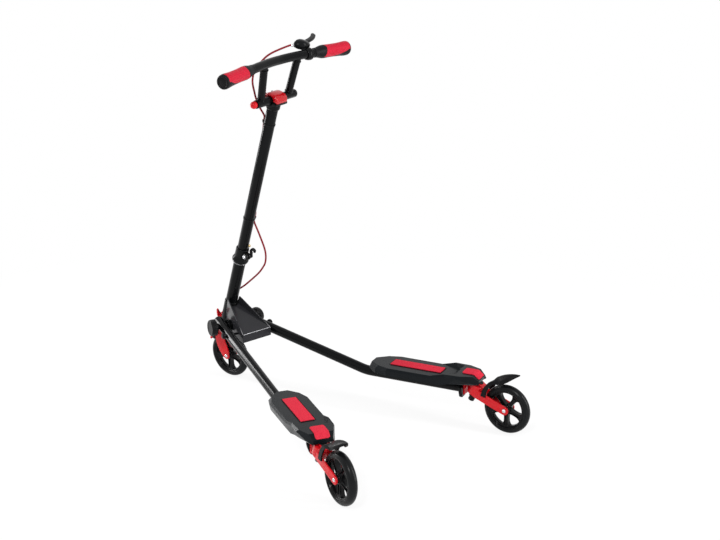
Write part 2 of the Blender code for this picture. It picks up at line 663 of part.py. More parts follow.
profile = [(0.0, caliper_stack + 0.0050), (0.0042, caliper_stack + 0.0050),
           (0.0050, caliper_stack + 0.0042), (0.0050, caliper_stack + GAP),
           (CALIPER_BOLT_RADIUS, caliper_stack + GAP),
           (CALIPER_BOLT_RADIUS, HEAD_TUBE_RADIUS + 0.0006), (0.0, HEAD_TUBE_RADIUS + 0.0006)]
place(turned("caliper_bolt", profile, "X", (0.0, 0.0, CALIPER_HEIGHT), 16), "caliper_bolt", STEEL, steering)

# Lower tube: the steerer, closed inside at the fork and open at the top for the upper tube
profile = [(0.0, LOWER_TUBE_FLOOR), (lower_bore, LOWER_TUBE_FLOOR), (lower_bore, lower_tube_top),
           (LOWER_TUBE_RADIUS, lower_tube_top), (LOWER_TUBE_RADIUS, crown_top + GAP),
           (0.0, crown_top + GAP)]
place(turned("lower_tube", profile), "lower_tube", BLACK_PAINT, steering)

# Clamp collar: a split sleeve over the joint of the two tubes, with two ears behind
sleeve = LOWER_TUBE_RADIUS + GAP
neck = UPPER_TUBE_RADIUS + GAP
step = lower_tube_top + GAP
outer = [(COLLAR_NECK_RADIUS - 0.0015, collar_top), (COLLAR_NECK_RADIUS, collar_top - 0.0030),
         (COLLAR_NECK_RADIUS, COLLAR_BOTTOM + COLLAR_BULGE_HEIGHT + 0.0080),
         (COLLAR_BULGE_RADIUS, COLLAR_BOTTOM + COLLAR_BULGE_HEIGHT + 0.0025),
         (COLLAR_BULGE_RADIUS, COLLAR_BOTTOM + COLLAR_BULGE_HEIGHT - 0.0030),
         (COLLAR_NECK_RADIUS - 0.0010, COLLAR_BOTTOM + 0.0040),
         (COLLAR_NECK_RADIUS - 0.0018, COLLAR_BOTTOM)]
inner = [(sleeve, COLLAR_BOTTOM), (sleeve, step), (neck, step), (neck, collar_top)]
collar = turned("collar", outer + inner, closed=True)
ear_middle = QR_PIN[2]
ear_back = -COLLAR_EAR_REACH
ear_low = ear_middle - COLLAR_EAR_HEIGHT / 2
ear_root = -COLLAR_NECK_RADIUS + 0.0022
ear_outline = [(ear_root, ear_low), (ear_root, ear_low + COLLAR_EAR_HEIGHT)]
ear_outline += arc((ear_back + COLLAR_EAR_HEIGHT / 2, ear_middle), COLLAR_EAR_HEIGHT / 2, 90, 270, 8)
worked(collar, flat("ears", [ear_outline], COLLAR_EAR_WIDTH, "Y"), "UNION")
slot = box("slot", (ear_back - 0.0100, -COLLAR_SLOT / 2, COLLAR_BOTTOM - 0.0100),
           (-UPPER_TUBE_RADIUS + 0.0030, COLLAR_SLOT / 2, collar_top + 0.0100))
worked(collar, slot, "DIFFERENCE")
ear_hole = COLLAR_BOLT_RADIUS + BOLT_CLEARANCE
worked(collar, rod("ear_hole", ear_hole, -0.03, 0.03, "Y", (QR_PIN[0], 0.0, QR_PIN[2]), 12), "DIFFERENCE")
collar_line = frame_empty("collar_line", steering, (0.0, 0.0, 0.0), (0.0, 0.0, COLLAR_TURNED))
place(collar, "clamp_collar", BLACK_PAINT, collar_line)
ear_face = COLLAR_EAR_WIDTH / 2 + GAP
bolt_end = QR_PIN[1] + QR_WIDTHS[0] / 2 + GAP
profile = [(0.0, ear_face + 0.0042), (0.0034, ear_face + 0.0042), (0.0044, ear_face + 0.0030),
           (0.0044, ear_face), (COLLAR_BOLT_RADIUS, ear_face), (COLLAR_BOLT_RADIUS, bolt_end),
           (0.0, bolt_end)]
bolt = turned("collar_bolt", profile, "Y", (QR_PIN[0], 0.0, QR_PIN[2]), 16)
place(bolt, "collar_bolt", STEEL, collar_line)

# Quick-release lever: a hooked cam lever on a pin across the bolt's end
qr_swing = frame_empty("quick_release_pin", collar_line, QR_PIN)
qr_outline = ribbon(QR_CENTRE_LINE, QR_WIDTHS)
cam = flat("cam", [circle((0.0, 0.0), QR_WIDTHS[0] / 2)], QR_THICKNESS + 0.0016, "X")
lever = flat("lever", [qr_outline], QR_THICKNESS, "X")
worked(lever, cam, "UNION")
place(lever, "quick_release_lever", BLACK_PLASTIC, qr_swing)

# Upper tube with the stem's socket and lower saddle on its top
upper_top = CROSS_TUBE_HEIGHT - CROSS_TUBE_RADIUS - 0.0015
socket_low = CROSS_TUBE_HEIGHT - GAP - STEM_SOCKET_HEIGHT
profile = [(0.0, upper_top), (STEM_SOCKET_RADIUS, upper_top), (STEM_SOCKET_RADIUS, socket_low + 0.0020),
           (STEM_SOCKET_RADIUS - 0.0020, socket_low), (UPPER_TUBE_RADIUS, socket_low),
           (UPPER_TUBE_RADIUS, UPPER_TUBE_BOTTOM), (upper_bore, UPPER_TUBE_BOTTOM),
           (upper_bore, socket_low), (0.0, socket_low)]
upper = turned("upper_tube", profile)
saddle_bore = CROSS_TUBE_RADIUS + GAP
saddle_outer = saddle_bore + CLAMP_WALL
ear_end = saddle_outer + CLAMP_EAR
saddle = [(ear_end, -GAP), (ear_end, -CLAMP_EAR_THICKNESS), (saddle_outer, -CLAMP_EAR_THICKNESS - 0.0020)]
saddle += arc((0.0, 0.0), saddle_outer, -35, -145, 8)
saddle += [(-saddle_outer, -CLAMP_EAR_THICKNESS - 0.0020), (-ear_end, -CLAMP_EAR_THICKNESS),
           (-ear_end, -GAP)]
saddle += arc((0.0, 0.0), saddle_bore, 181.6, 358.4, 12)
worked(upper, flat("saddle", [saddle], CLAMP_WIDTH, "Y", (0.0, 0.0, CROSS_TUBE_HEIGHT)), "UNION")
button_height = collar_top + BUTTON_ABOVE_COLLAR
button_spot = (0.0, 0.0, button_height)
button_hole = rod("button_hole", BUTTON_RADIUS + GAP, 0.0, 2 * UPPER_TUBE_RADIUS, "X", steps=12)
button_hole.data.transform(Matrix.Translation(button_spot) @ Matrix.Rotation(BUTTON_ANGLE, 4, "Z"))
worked(upper, button_hole, "DIFFERENCE")
place(upper, "upper_tube", BLACK_PAINT, steering)

# Height button: a sprung brass stud that stands out of the upper tube above the collar
button_slide = frame_empty("height_button_line", steering, button_spot, (0.0, 0.0, BUTTON_ANGLE))
tip = UPPER_TUBE_RADIUS + BUTTON_PROUD
flange = upper_bore - 0.0022
profile = [(0.0, tip), (BUTTON_RADIUS * 0.6, tip - 0.0005), (BUTTON_RADIUS, tip - 0.0022),
           (BUTTON_RADIUS, flange), (BUTTON_RADIUS + 0.0016, flange),
           (BUTTON_RADIUS + 0.0016, flange - 0.0016), (0.0, flange - 0.0016)]
place(turned("button", profile, "X", steps=16), "height_button", BRASS, button_slide)

# Stem clamp: the painted upper half that holds the cross tube down
cap = [(-ear_end, GAP), (-ear_end, CLAMP_EAR_THICKNESS), (-saddle_outer, CLAMP_EAR_THICKNESS + 0.0020)]
cap += arc((0.0, 0.0), saddle_outer, 145, 35, 8)
cap += [(saddle_outer, CLAMP_EAR_THICKNESS + 0.0020), (ear_end, CLAMP_EAR_THICKNESS), (ear_end, GAP)]
cap += arc((0.0, 0.0), saddle_bore, 1.6, 178.4, 12)
clamp = flat("clamp", [cap], CLAMP_WIDTH, "Y", (0.0, 0.0, CROSS_TUBE_HEIGHT))
place(clamp, "stem_clamp", RED_PAINT, steering)

# Handlebar: a swept top bar and a cross tube, joined by two risers
end_spot = Vector(BAR_END)
inner_spot = Vector(BAR_POINTS[-1])
grip_direction = (end_spot - inner_spot).normalized()
bar_tip = end_spot - grip_direction * BAR_END_INSET
left_half = [BAR_MIDDLE] + BAR_POINTS + [tuple(bar_tip)]
right_half = [(x, -y, z) for x, y, z in left_half[:0:-1]]
bar = pipe("bar", smooth_route(right_half + left_half, 0.030), BAR_RADIUS, 4)
cross_middle = (0.0, 0.0, CROSS_TUBE_HEIGHT)
cross = rod("cross", CROSS_TUBE_RADIUS, -CROSS_TUBE_HALF, CROSS_TUBE_HALF, "Y", cross_middle)
worked(bar, cross, "UNION")
for side in (1, -1):
    foot = (0.0005, side * RISER_FOOT_SPREAD, CROSS_TUBE_HEIGHT)
    head = (RISER_TOP[0], side * RISER_TOP[1], RISER_TOP[2])
    worked(bar, pipe("riser", [foot, head], RISER_RADIUS), "UNION")
place(bar, "handlebar", BLACK_PAINT, steering)
seat = CROSS_TUBE_HALF + GAP
ball_centre = seat + math.sqrt(BALL_RADIUS ** 2 - (BALL_RADIUS * 0.75) ** 2)
ball = [(radius, height) for radius, height in arc((0.0, ball_centre), BALL_RADIUS, 90, -41.4, 8)]
ball[0] = (0.0, ball[0][1])
ball.append((0.0, ball[-1][1]))
place(turned("ball", ball, "Y", cross_middle, 20), "cross_tube_cap_left", RED_PAINT, steering)
dome = [(0.0, -seat), (CROSS_TUBE_RADIUS, -seat), (CROSS_TUBE_RADIUS, -seat - 0.0030),
        (CROSS_TUBE_RADIUS * 0.75, -seat - 0.0070), (0.0, -seat - 0.0090)]
place(turned("dome", dome, "Y", cross_middle, 20), "cross_tube_cap_right", BLACK_PLASTIC, steering)

# Grips: a rubber sleeve with a flange at its inner end and a palm swell
bore = BAR_RADIUS + GAP
grip_bar_end = (bar_tip - inner_spot).length + GAP
for word, side in (("left", 1), ("right", -1)):
    outer = [(0.0, GRIP_LENGTH), (GRIP_SWELL_RADIUS - 0.0050, GRIP_LENGTH),
             (GRIP_SWELL_RADIUS - 0.0008, GRIP_LENGTH - 0.0040), (GRIP_SWELL_RADIUS, GRIP_LENGTH - 0.0110),
             (GRIP_SWELL_RADIUS - 0.0016, GRIP_LENGTH - 0.0260), (bore + 0.0044, GRIP_LENGTH * 0.55),
             (bore + GRIP_WALL + 0.0006, GRIP_LENGTH * 0.34), (bore + GRIP_WALL, GRIP_FLANGE + 0.0012),
             (GRIP_FLANGE_RADIUS, GRIP_FLANGE), (GRIP_FLANGE_RADIUS, 0.0)]
    inside = [(bore, 0.0), (bore, grip_bar_end), (0.0, grip_bar_end)]
    grip = turned("grip", outer + inside)
    direction = Vector((grip_direction.x, side * grip_direction.y, grip_direction.z))
    start = Vector((inner_spot.x, side * inner_spot.y, inner_spot.z))
    turn = Vector((0.0, 0.0, 1.0)).rotation_difference(direction)
    grip.data.transform(Matrix.Translation(start) @ turn.to_matrix().to_4x4())
    place(grip, "grip_" + word, GRIP_RUBBER, steering)

# Brake bracket: a ring on the bar with the housing of the lever's pivot on it
bar_at_brake = Vector(BAR_POINTS[1]).lerp(inner_spot, (BRAKE_RING_MIDDLE - BAR_POINTS[1][1])
                                          / (inner_spot.y - BAR_POINTS[1][1]))
bar_slant = (inner_spot - Vector(BAR_POINTS[1])).normalized()
ring_bore = BAR_RADIUS + 3 * GAP
ring_outer = ring_bore + BRAKE_RING_WALL
half = BRAKE_RING_WIDTH / 2
profile = [(ring_outer, half), (ring_outer, -half), (ring_bore, -half), (ring_bore, half)]
bracket = turned("ring", profile, closed=True)
turn = Vector((0.0, 0.0, 1.0)).rotation_difference(Vector((bar_slant.x, -bar_slant.y, bar_slant.z)))
spot = Vector((bar_at_brake.x, -bar_at_brake.y, bar_at_brake.z))
bracket.data.transform(Matrix.Translation(spot) @ turn.to_matrix().to_4x4())
low = [BRAKE_BODY_MIDDLE[i] - BRAKE_BODY_SIZE[i] / 2 for i in range(3)]
high = [BRAKE_BODY_MIDDLE[i] + BRAKE_BODY_SIZE[i] / 2 for i in range(3)]
worked(bracket, box("housing", low, high), "UNION")
lever_slot_half = LEVER_THICKNESS / 2 + GAP
lever_low = BRAKE_BODY_MIDDLE[2] - lever_slot_half
lever_high = BRAKE_BODY_MIDDLE[2] + lever_slot_half
lever_room = LEVER_WIDTHS[0] / 2 + LEVER_SWING_ROOM
slot = box("lever_slot", (LEVER_PIVOT[0] - lever_room, low[1] - 0.0100, lever_low),
           (high[0] + 0.0100, LEVER_PIVOT[1] + lever_room, lever_high))
worked(bracket, slot, "DIFFERENCE")
bar_room = rod("bar_room", ring_bore, -0.06, 0.06)
bar_room.data.transform(Matrix.Translation(spot) @ turn.to_matrix().to_4x4())
worked(bracket, bar_room, "DIFFERENCE")
place(bracket, "brake_bracket", BLACK_PLASTIC, steering)

# Brake lever: a two-finger blade on a pin in the bracket
lever_swing = frame_empty("brake_lever_pin", steering, (*LEVER_PIVOT, BRAKE_BODY_MIDDLE[2]))
lever = flat("lever", [ribbon(LEVER_CENTRE_LINE, LEVER_WIDTHS)], LEVER_THICKNESS)
worked(lever, rod("lever_eye", LEVER_WIDTHS[0] / 2, -LEVER_THICKNESS / 2 + 0.0001,
                  LEVER_THICKNESS / 2 - 0.0001), "UNION")
place(lever, "brake_lever", BLACK_PAINT, lever_swing)

# Barrel adjuster: the knurled screw that the cable leaves the bracket through
barrel_seat = high[1] + GAP
profile = [(0.0, BARREL_LENGTH), (BARREL_RADIUS - 0.0008, BARREL_LENGTH),
           (BARREL_RADIUS, BARREL_LENGTH - 0.0020), (BARREL_RADIUS, 0.0030), (BARREL_RADIUS - 0.0008, 0.0),
           (0.0, 0.0)]
spot = (CABLE_FROM_BAR[0][0], barrel_seat, BRAKE_BODY_MIDDLE[2] + BARREL_ABOVE_LEVER)
place(turned("barrel", profile, "Y", spot, 16), "barrel_adjuster", STEEL, steering)

# Cable clips on the upper tube
for word, height, angle in (("upper", CROSS_TUBE_HEIGHT - UPPER_CLIP_DROP, UPPER_CLIP_ANGLE),
                            ("lower", LOWER_CLIP_HEIGHT, LOWER_CLIP_ANGLE)):
    band = UPPER_TUBE_RADIUS + GAP
    eye = CABLE_RADIUS + 2 * GAP
    tangent = math.degrees(math.acos((band + CLIP_WALL - eye - CLIP_WALL) / CLIP_REACH))
    outline = arc((0.0, 0.0), band + CLIP_WALL, tangent, 360 - tangent, 16)
    outline += arc((CLIP_REACH, 0.0), eye + CLIP_WALL, -tangent, tangent, 6)
    holes = [circle((0.0, 0.0), band, 20), circle((CLIP_REACH, 0.0), eye, 10)]
    clip = flat("clip", [outline] + holes, CLIP_HEIGHT)
    place(clip, "cable_clip_" + word, BLACK_PLASTIC, steering, (0.0, 0.0, height), (0.0, 0.0, angle))

# Brake cable: one run on the handlebar and upper tube, and the loose loop to the caliper
upper_route = [(x, y, CROSS_TUBE_HEIGHT + rise) for x, y, rise in CABLE_FROM_BAR] + CABLE_DOWN_TUBE
place(pipe("cable", smooth_route(upper_route, CABLE_STEP), CABLE_RADIUS, 2),
      "brake_cable_upper", CABLE_JACKET, steering)
place(pipe("cable", smooth_route(CABLE_LOWER_ROUTE, CABLE_STEP), CABLE_RADIUS, 2),
      "brake_cable_lower", CABLE_JACKET, steering)


# Body: a wedge of folded sheet with a sunken lid, welded round the head tube
def body_half_width(x, inset):
    """Half the wedge's width at a place along the scooter."""
    return BODY_REAR_HALF_WIDTH - (x - BODY_REAR) * math.tan(ARM_SPLAY) - inset / math.cos(ARM_SPLAY)


def wedge(name, outline, inset, reach=0.06):
    """A side-view outline, as wide as the wedge less an inset on each side."""
    piece = flat(name, [outline], 2 * reach, "Y")
    far = 0.045
    plan = [(-0.20, body_half_width(-0.20, inset)), (-0.20, -body_half_width(-0.20, inset)),
            (far, -body_half_width(far, inset)), (far, body_half_width(far, inset))]
    if plan[3][1] < 0.0005:
        room = BODY_REAR_HALF_WIDTH - inset / math.cos(ARM_SPLAY) - 0.0005
        far = BODY_REAR + room / math.tan(ARM_SPLAY)
        plan[2:] = [(far, -0.0005), (far, 0.0005)]
    blade = flat(name + "_plan", [plan], 0.40, "Z", (0.0, 0.0, 0.2))
    return worked(piece, blade, "INTERSECT")


def baked(piece):
    """A piece with its modifiers as a plain mesh, so that it can be a cutter itself."""
    tools = list(piece.children)
    whole = meshed(piece, Euler(), (0.0, 0.0, 0.0))
    for tool in tools:
        bpy.data.objects.remove(tool)
    return whole


def lid_height(x):
    """The sunken lid's upper face."""
    return BODY_REAR_TOP + (x - BODY_REAR) * math.tan(BODY_LID_SLOPE)


axis_at_bottom = AXIS_FOOT - BODY_BOTTOM * math.tan(RAKE)
outside = [(BODY_REAR, BODY_BOTTOM), (BODY_REAR + 0.0015, BODY_REAR_TOP), BODY_APEX,
           (axis_at_bottom - 0.0010, BODY_BOTTOM)]
body = baked(wedge("body", outside, 0.0))
past = 0.010
lid_far = 0.02
hollow = [(BODY_REAR + BODY_WALL, BODY_BOTTOM + BODY_WALL),
          (BODY_REAR + BODY_WALL, lid_height(BODY_REAR) - BODY_WALL),
          (lid_far, lid_height(lid_far) - BODY_WALL), (lid_far, BODY_BOTTOM + BODY_WALL)]
worked(body, baked(wedge("hollow", hollow, BODY_WALL)), "DIFFERENCE")
recess = [(BODY_REAR - past, lid_height(BODY_REAR - past) + GAP), (lid_far, lid_height(lid_far) + GAP),
          (lid_far, BODY_APEX[1] + past), (BODY_REAR - past, BODY_APEX[1] + past)]
worked(body, baked(wedge("recess", recess, BODY_WALL)), "DIFFERENCE")
head_room = rod("head_room", HEAD_TUBE_RADIUS + GAP, 0.05, 0.30, steps=32)
head_room.data.transform(column_matrix(0.0))
worked(body, head_room, "DIFFERENCE")
for side in (1, -1):
    bolt_way = rod("bolt_way", PIVOT_BOLT_RADIUS + BOLT_CLEARANCE, -0.04, 0.04, "Y", steps=16)
    turn = Matrix.Rotation(-side * ARM_SPLAY, 4, "Z")
    bolt_way.data.transform(Matrix.Translation((ARM_PIVOT[0], side * ARM_PIVOT[1], ARM_PIVOT[2])) @ turn)
    worked(body, bolt_way, "DIFFERENCE")
place(body, "body_shell", BLACK_PAINT, ground)

# Head tube and its two bearing rings, on the steering axis but fixed to the body
straight = column_matrix(0.0)
head_axis = frame_empty("head_tube_axis", ground, straight.translation, straight.to_euler())
steerer_room = LOWER_TUBE_RADIUS + GAP
profile = [(HEAD_TUBE_RADIUS, head_tube_top), (HEAD_TUBE_RADIUS, head_tube_bottom),
           (steerer_room, head_tube_bottom), (steerer_room, head_tube_top)]
place(turned("head_tube", profile, closed=True), "head_tube", BLACK_PAINT, head_axis)
for word, low in (("lower", crown_top + GAP), ("upper", head_tube_top + GAP)):
    high = low + HEADSET_RING
    profile = [(HEAD_TUBE_RADIUS - 0.0006, high), (HEAD_TUBE_RADIUS, high - 0.0010),
               (HEAD_TUBE_RADIUS, low), (steerer_room, low), (steerer_room, high)]
    place(turned("ring", profile, closed=True), "headset_" + word, BLACK_PAINT, head_axis)


# Arms, platforms and casters, left and right alike
def arm_group(word, side):
    pivot = (ARM_PIVOT[0], side * ARM_PIVOT[1], ARM_PIVOT[2])
    arm = frame_empty("arm_pivot_" + word, ground, pivot, (0.0, 0.0, -side * ARM_SPLAY))
    # Distance from the arm's centre line in to the face of the body's side plate
    plate = (ARM_PIVOT[1] - body_half_width(ARM_PIVOT[0], 0.0)) * math.cos(ARM_SPLAY)
    spacer_end = plate - GAP
    spacer_start = ARM_RADIUS + GAP

    # The tube falls from its nose to the bend and then runs level to the caster
    nose = Vector((ARM_NOSE, 0.0, ARM_NOSE * math.tan(arm_slope)))
    bend = Vector((-ARM_RUN, 0.0, -ARM_RUN * math.tan(arm_slope)))
    level = Matrix.Rotation(-side * deck_turn, 3, "Z") @ Vector((-1.0, 0.0, 0.0))
    end = bend + level * (KING_FROM_BEND - ARM_END)
    corner = rounded_corner(nose, bend, end, ARM_BEND_RADIUS, 5)
    king = bend + level * KING_FROM_BEND
    deck_in_arm = Matrix.Translation((king.x, king.y, -ARM_PIVOT[2]))
    deck_in_arm = deck_in_arm @ Matrix.Rotation(-side * deck_turn, 4, "Z")
    tube = pipe("tube", [nose] + corner + [end], ARM_RADIUS, 4)
    # A stop block hangs under the arm's rear end, ahead of the caster's bracket
    stop = box("stop", (ARM_END + 0.0003, -ARM_STOP_HALF_WIDTH, ARM_STOP_BOTTOM),
               (ARM_END + ARM_STOP_LENGTH, ARM_STOP_HALF_WIDTH, ARM_STOP_TOP))
    stop.data.transform(deck_in_arm)
    worked(tube, stop, "UNION")
    fall = (bend - nose).normalized()
    inner = [nose - fall * 0.005] + corner + [end - level * 0.004]
    worked(tube, pipe("tube_bore", inner, ARM_RADIUS - ARM_WALL, 3), "DIFFERENCE")
    bolt_room = PIVOT_BOLT_RADIUS + BOLT_CLEARANCE
    worked(tube, rod("bolt_way", bolt_room, -0.03, 0.03, "Y", steps=12), "DIFFERENCE")
    pin_spot = (-PIN_DISTANCE, 0.0, -PIN_DISTANCE * math.tan(arm_slope) + PIN_RISE)
    pin_room = PIN_RADIUS + BOLT_CLEARANCE
    worked(tube, rod("pin_way", pin_room, -0.03, 0.03, "Y", pin_spot, 12), "DIFFERENCE")
    place(tube, word + "_arm", BLACK_PAINT, arm)

    # Pivot bolt: its head inside the body, and a shoulder that spaces the arm off the plate
    across = Matrix.Diagonal((1.0, side, 1.0, 1.0))
    inside_plate = -plate - BODY_WALL - GAP
    tip = KNOB_FACE - 0.0060
    profile = [(0.0, tip), (PIVOT_BOLT_RADIUS, tip), (PIVOT_BOLT_RADIUS, -spacer_start),
               (SPACER_RADIUS, -spacer_start), (SPACER_RADIUS, -spacer_end),
               (PIVOT_BOLT_RADIUS, -spacer_end), (PIVOT_BOLT_RADIUS, inside_plate),
               (PIVOT_BOLT_HEAD_RADIUS, inside_plate),
               (PIVOT_BOLT_HEAD_RADIUS, inside_plate - PIVOT_BOLT_HEAD),
               (0.0, inside_plate - PIVOT_BOLT_HEAD)]
    bolt_line = frame_empty("pivot_bolt_line_" + word, ground, pivot, (0.0, 0.0, -side * ARM_SPLAY))
    place(mirrored(turned("bolt", profile, "Y"), across), word + "_pivot_bolt", BLACK_PAINT, bolt_line)

    # Clamping knob: a plain face and a ribbed skirt
    skirt = KNOB_FACE - KNOB_DEPTH
    profile = [(0.0, KNOB_FACE), (KNOB_RADIUS - 0.0030, KNOB_FACE), (KNOB_RADIUS, KNOB_FACE - 0.0030),
               (KNOB_RADIUS, skirt + 0.0040), (KNOB_RADIUS - 0.0060, skirt), (KNOB_BOSS_RADIUS, skirt),
               (KNOB_BOSS_RADIUS, ARM_RADIUS + 2 * GAP), (bolt_room, ARM_RADIUS + 2 * GAP),
               (bolt_room, tip + GAP), (0.0, tip + GAP)]
    knob = turned("knob", profile, "Y", steps=36)
    grooves = grooved_ring(skirt - 0.001, KNOB_FACE - 0.0070)
    worked(knob, grooves, "DIFFERENCE")
    knob_line = frame_empty("knob_line_" + word, arm, (0.0, 0.0, 0.0))
    place(mirrored(baked(knob), across), word + "_clamp_knob", BLACK_PLASTIC, knob_line)

    # Locking pin: a sprung pin through the arm, with its own small knob
    start = PIN_KNOB_FACE - PIN_KNOB_DEPTH
    profile = [(0.0, PIN_KNOB_FACE), (PIN_KNOB_RADIUS - 0.0015, PIN_KNOB_FACE),
               (PIN_KNOB_RADIUS, PIN_KNOB_FACE - 0.0015), (PIN_KNOB_RADIUS - 0.0008, start),
               (PIN_RADIUS, start), (PIN_RADIUS, -plate + GAP), (0.0, -plate + GAP)]
    pin_line = frame_empty("locking_pin_line_" + word, arm, pin_spot)
    pin = mirrored(turned("pin", profile, "Y", steps=20), across)
    place(pin, word + "_locking_pin", BLACK_PLASTIC, pin_line)

    king_foot = (king.x, king.y, -ARM_PIVOT[2])
    deck = frame_empty("deck_line_" + word, arm, king_foot, (0.0, 0.0, -side * deck_turn))
    platform(word, deck)
    caster(word, side, deck)


def mirrored(piece, across):
    """A piece mirrored to the other side, with its faces still pointing out."""
    piece.data.transform(across)
    if across.determinant() < 0:
        piece.data.flip_normals()
    return piece


def grooved_ring(low, high):
    """The cutter of a knob's skirt: a ring whose inside is a ribbed outline."""
    inside = []
    for rib in range(KNOB_RIBS):
        for part, radius in ((0.0, KNOB_RADIUS + GAP), (0.34, KNOB_RADIUS + GAP),
                             (0.5, KNOB_RADIUS - KNOB_RIB_DEPTH), (0.84, KNOB_RADIUS - KNOB_RIB_DEPTH)):
            angle = math.tau * (rib + part) / KNOB_RIBS
            inside.append((radius * math.cos(angle), radius * math.sin(angle)))
    outside = circle((0.0, 0.0), KNOB_RADIUS + 0.004, 36)
    return flat("grooves", [outside, inside], high - low, "Y", (0.0, (low + high) / 2, 0.0))


def deck_top(u):
    """The height of a platform's top at a distance along it."""
    for ahead, behind in zip(DECK_STATIONS, DECK_STATIONS[1:]):
        if ahead[0] >= u >= behind[0]:
            share = (u - behind[0]) / (ahead[0] - behind[0])
            return behind[-1] + (ahead[-1] - behind[-1]) * share
    raise ValueError("off the platform")


def bracket_line(along, above):
    """A place beside the kingpin: along the leaning head's top, and above its centre."""
    lean = Matrix.Rotation(-CASTER_LEAN, 3, "Y")
    place_here = lean @ Vector((along, 0.0, above))
    return (place_here.x, place_here.z + HEAD_CENTRE_HEIGHT)


def platform(word, deck):
    """A moulded foot platform on the arm, with two grip pads."""
    underside = ARM_REAR_HEIGHT + ARM_RADIUS + GAP
    rings = []
    for u, low_half, side_half, top_half, lift, edge, top in DECK_STATIONS:
        low = underside + lift
        rings.append([(u, low_half, low), (u, side_half, edge), (u, top_half, top),
                      (u, -top_half, top), (u, -side_half, edge), (u, -low_half, low)])
    board = lofted("board", rings)
    roof = min(station[-1] for station in DECK_STATIONS[1:5]) - DECK_ROOF
    for side in (1, -1):
        across = sorted((side * DECK_POCKET_INSIDE, side * DECK_POCKET_OUTSIDE))
        pocket = box("pocket", (DECK_POCKET_START, across[0], underside - 0.01),
                     (DECK_POCKET_END, across[1], roof))
        worked(board, pocket, "DIFFERENCE")
    # The room for the caster's head and bracket, open behind and below
    head_top = SWIVEL_HEIGHT / 2 + GAP + BRACKET_WALL + GAP + KINGPIN_HEAD
    rear_low = bracket_line(-0.0420, head_top + POCKET_CLEARANCE - 0.0010)
    front_high = bracket_line(0.0260, head_top + POCKET_CLEARANCE - 0.0020)
    room_end = BRACKET_FRONT + POCKET_CLEARANCE
    room = [(rear_low[0], underside - 0.02), rear_low, front_high, (room_end, front_high[1]),
            (room_end, underside - 0.02)]
    worked(board, flat("head_room", [room], 2 * (SWIVEL_RADIUS + POCKET_CLEARANCE), "Y"), "DIFFERENCE")
    place(board, word + "_platform", DECK_PLASTIC, deck)

    pad_low, pad_high = FRONT_PAD
    seat = deck_top((pad_low + pad_high) / 2) + GAP
    pad = box("pad", (pad_low, -FRONT_PAD_HALF_WIDTH, seat),
              (pad_high, FRONT_PAD_HALF_WIDTH, seat + PAD_SHEET))
    place(pad, word + "_front_pad", GRIT, deck)

    # The rear pad lies on the heel rest and folds down its rear slope
    brow, tail = DECK_STATIONS[-3], DECK_STATIONS[-2]
    level = brow[-1] + GAP
    slope = Vector((tail[0] - brow[0], tail[-1] - brow[-1])).normalized()
    normal = Vector((slope.y, -slope.x))
    if normal.y < 0:
        normal = -normal
    lift = normal * GAP
    brow_low = (brow[0] + lift.x * 0.5, level)
    end_low = (tail[0] + lift.x * 1.3, tail[-1] + lift.y * 1.3)
    end_high = (end_low[0] + normal.x * PAD_SHEET, end_low[1] + normal.y * PAD_SHEET)
    brow_high = (brow[0] + normal.x * PAD_SHEET * 0.6, level + PAD_SHEET)
    outline = [(REAR_PAD_FRONT, level), (REAR_PAD_FRONT, level + PAD_SHEET), brow_high, end_high, end_low,
               brow_low]
    place(flat("rear_pad", [outline], 2 * REAR_PAD_HALF_WIDTH, "Y"), word + "_rear_pad", GRIT, deck)


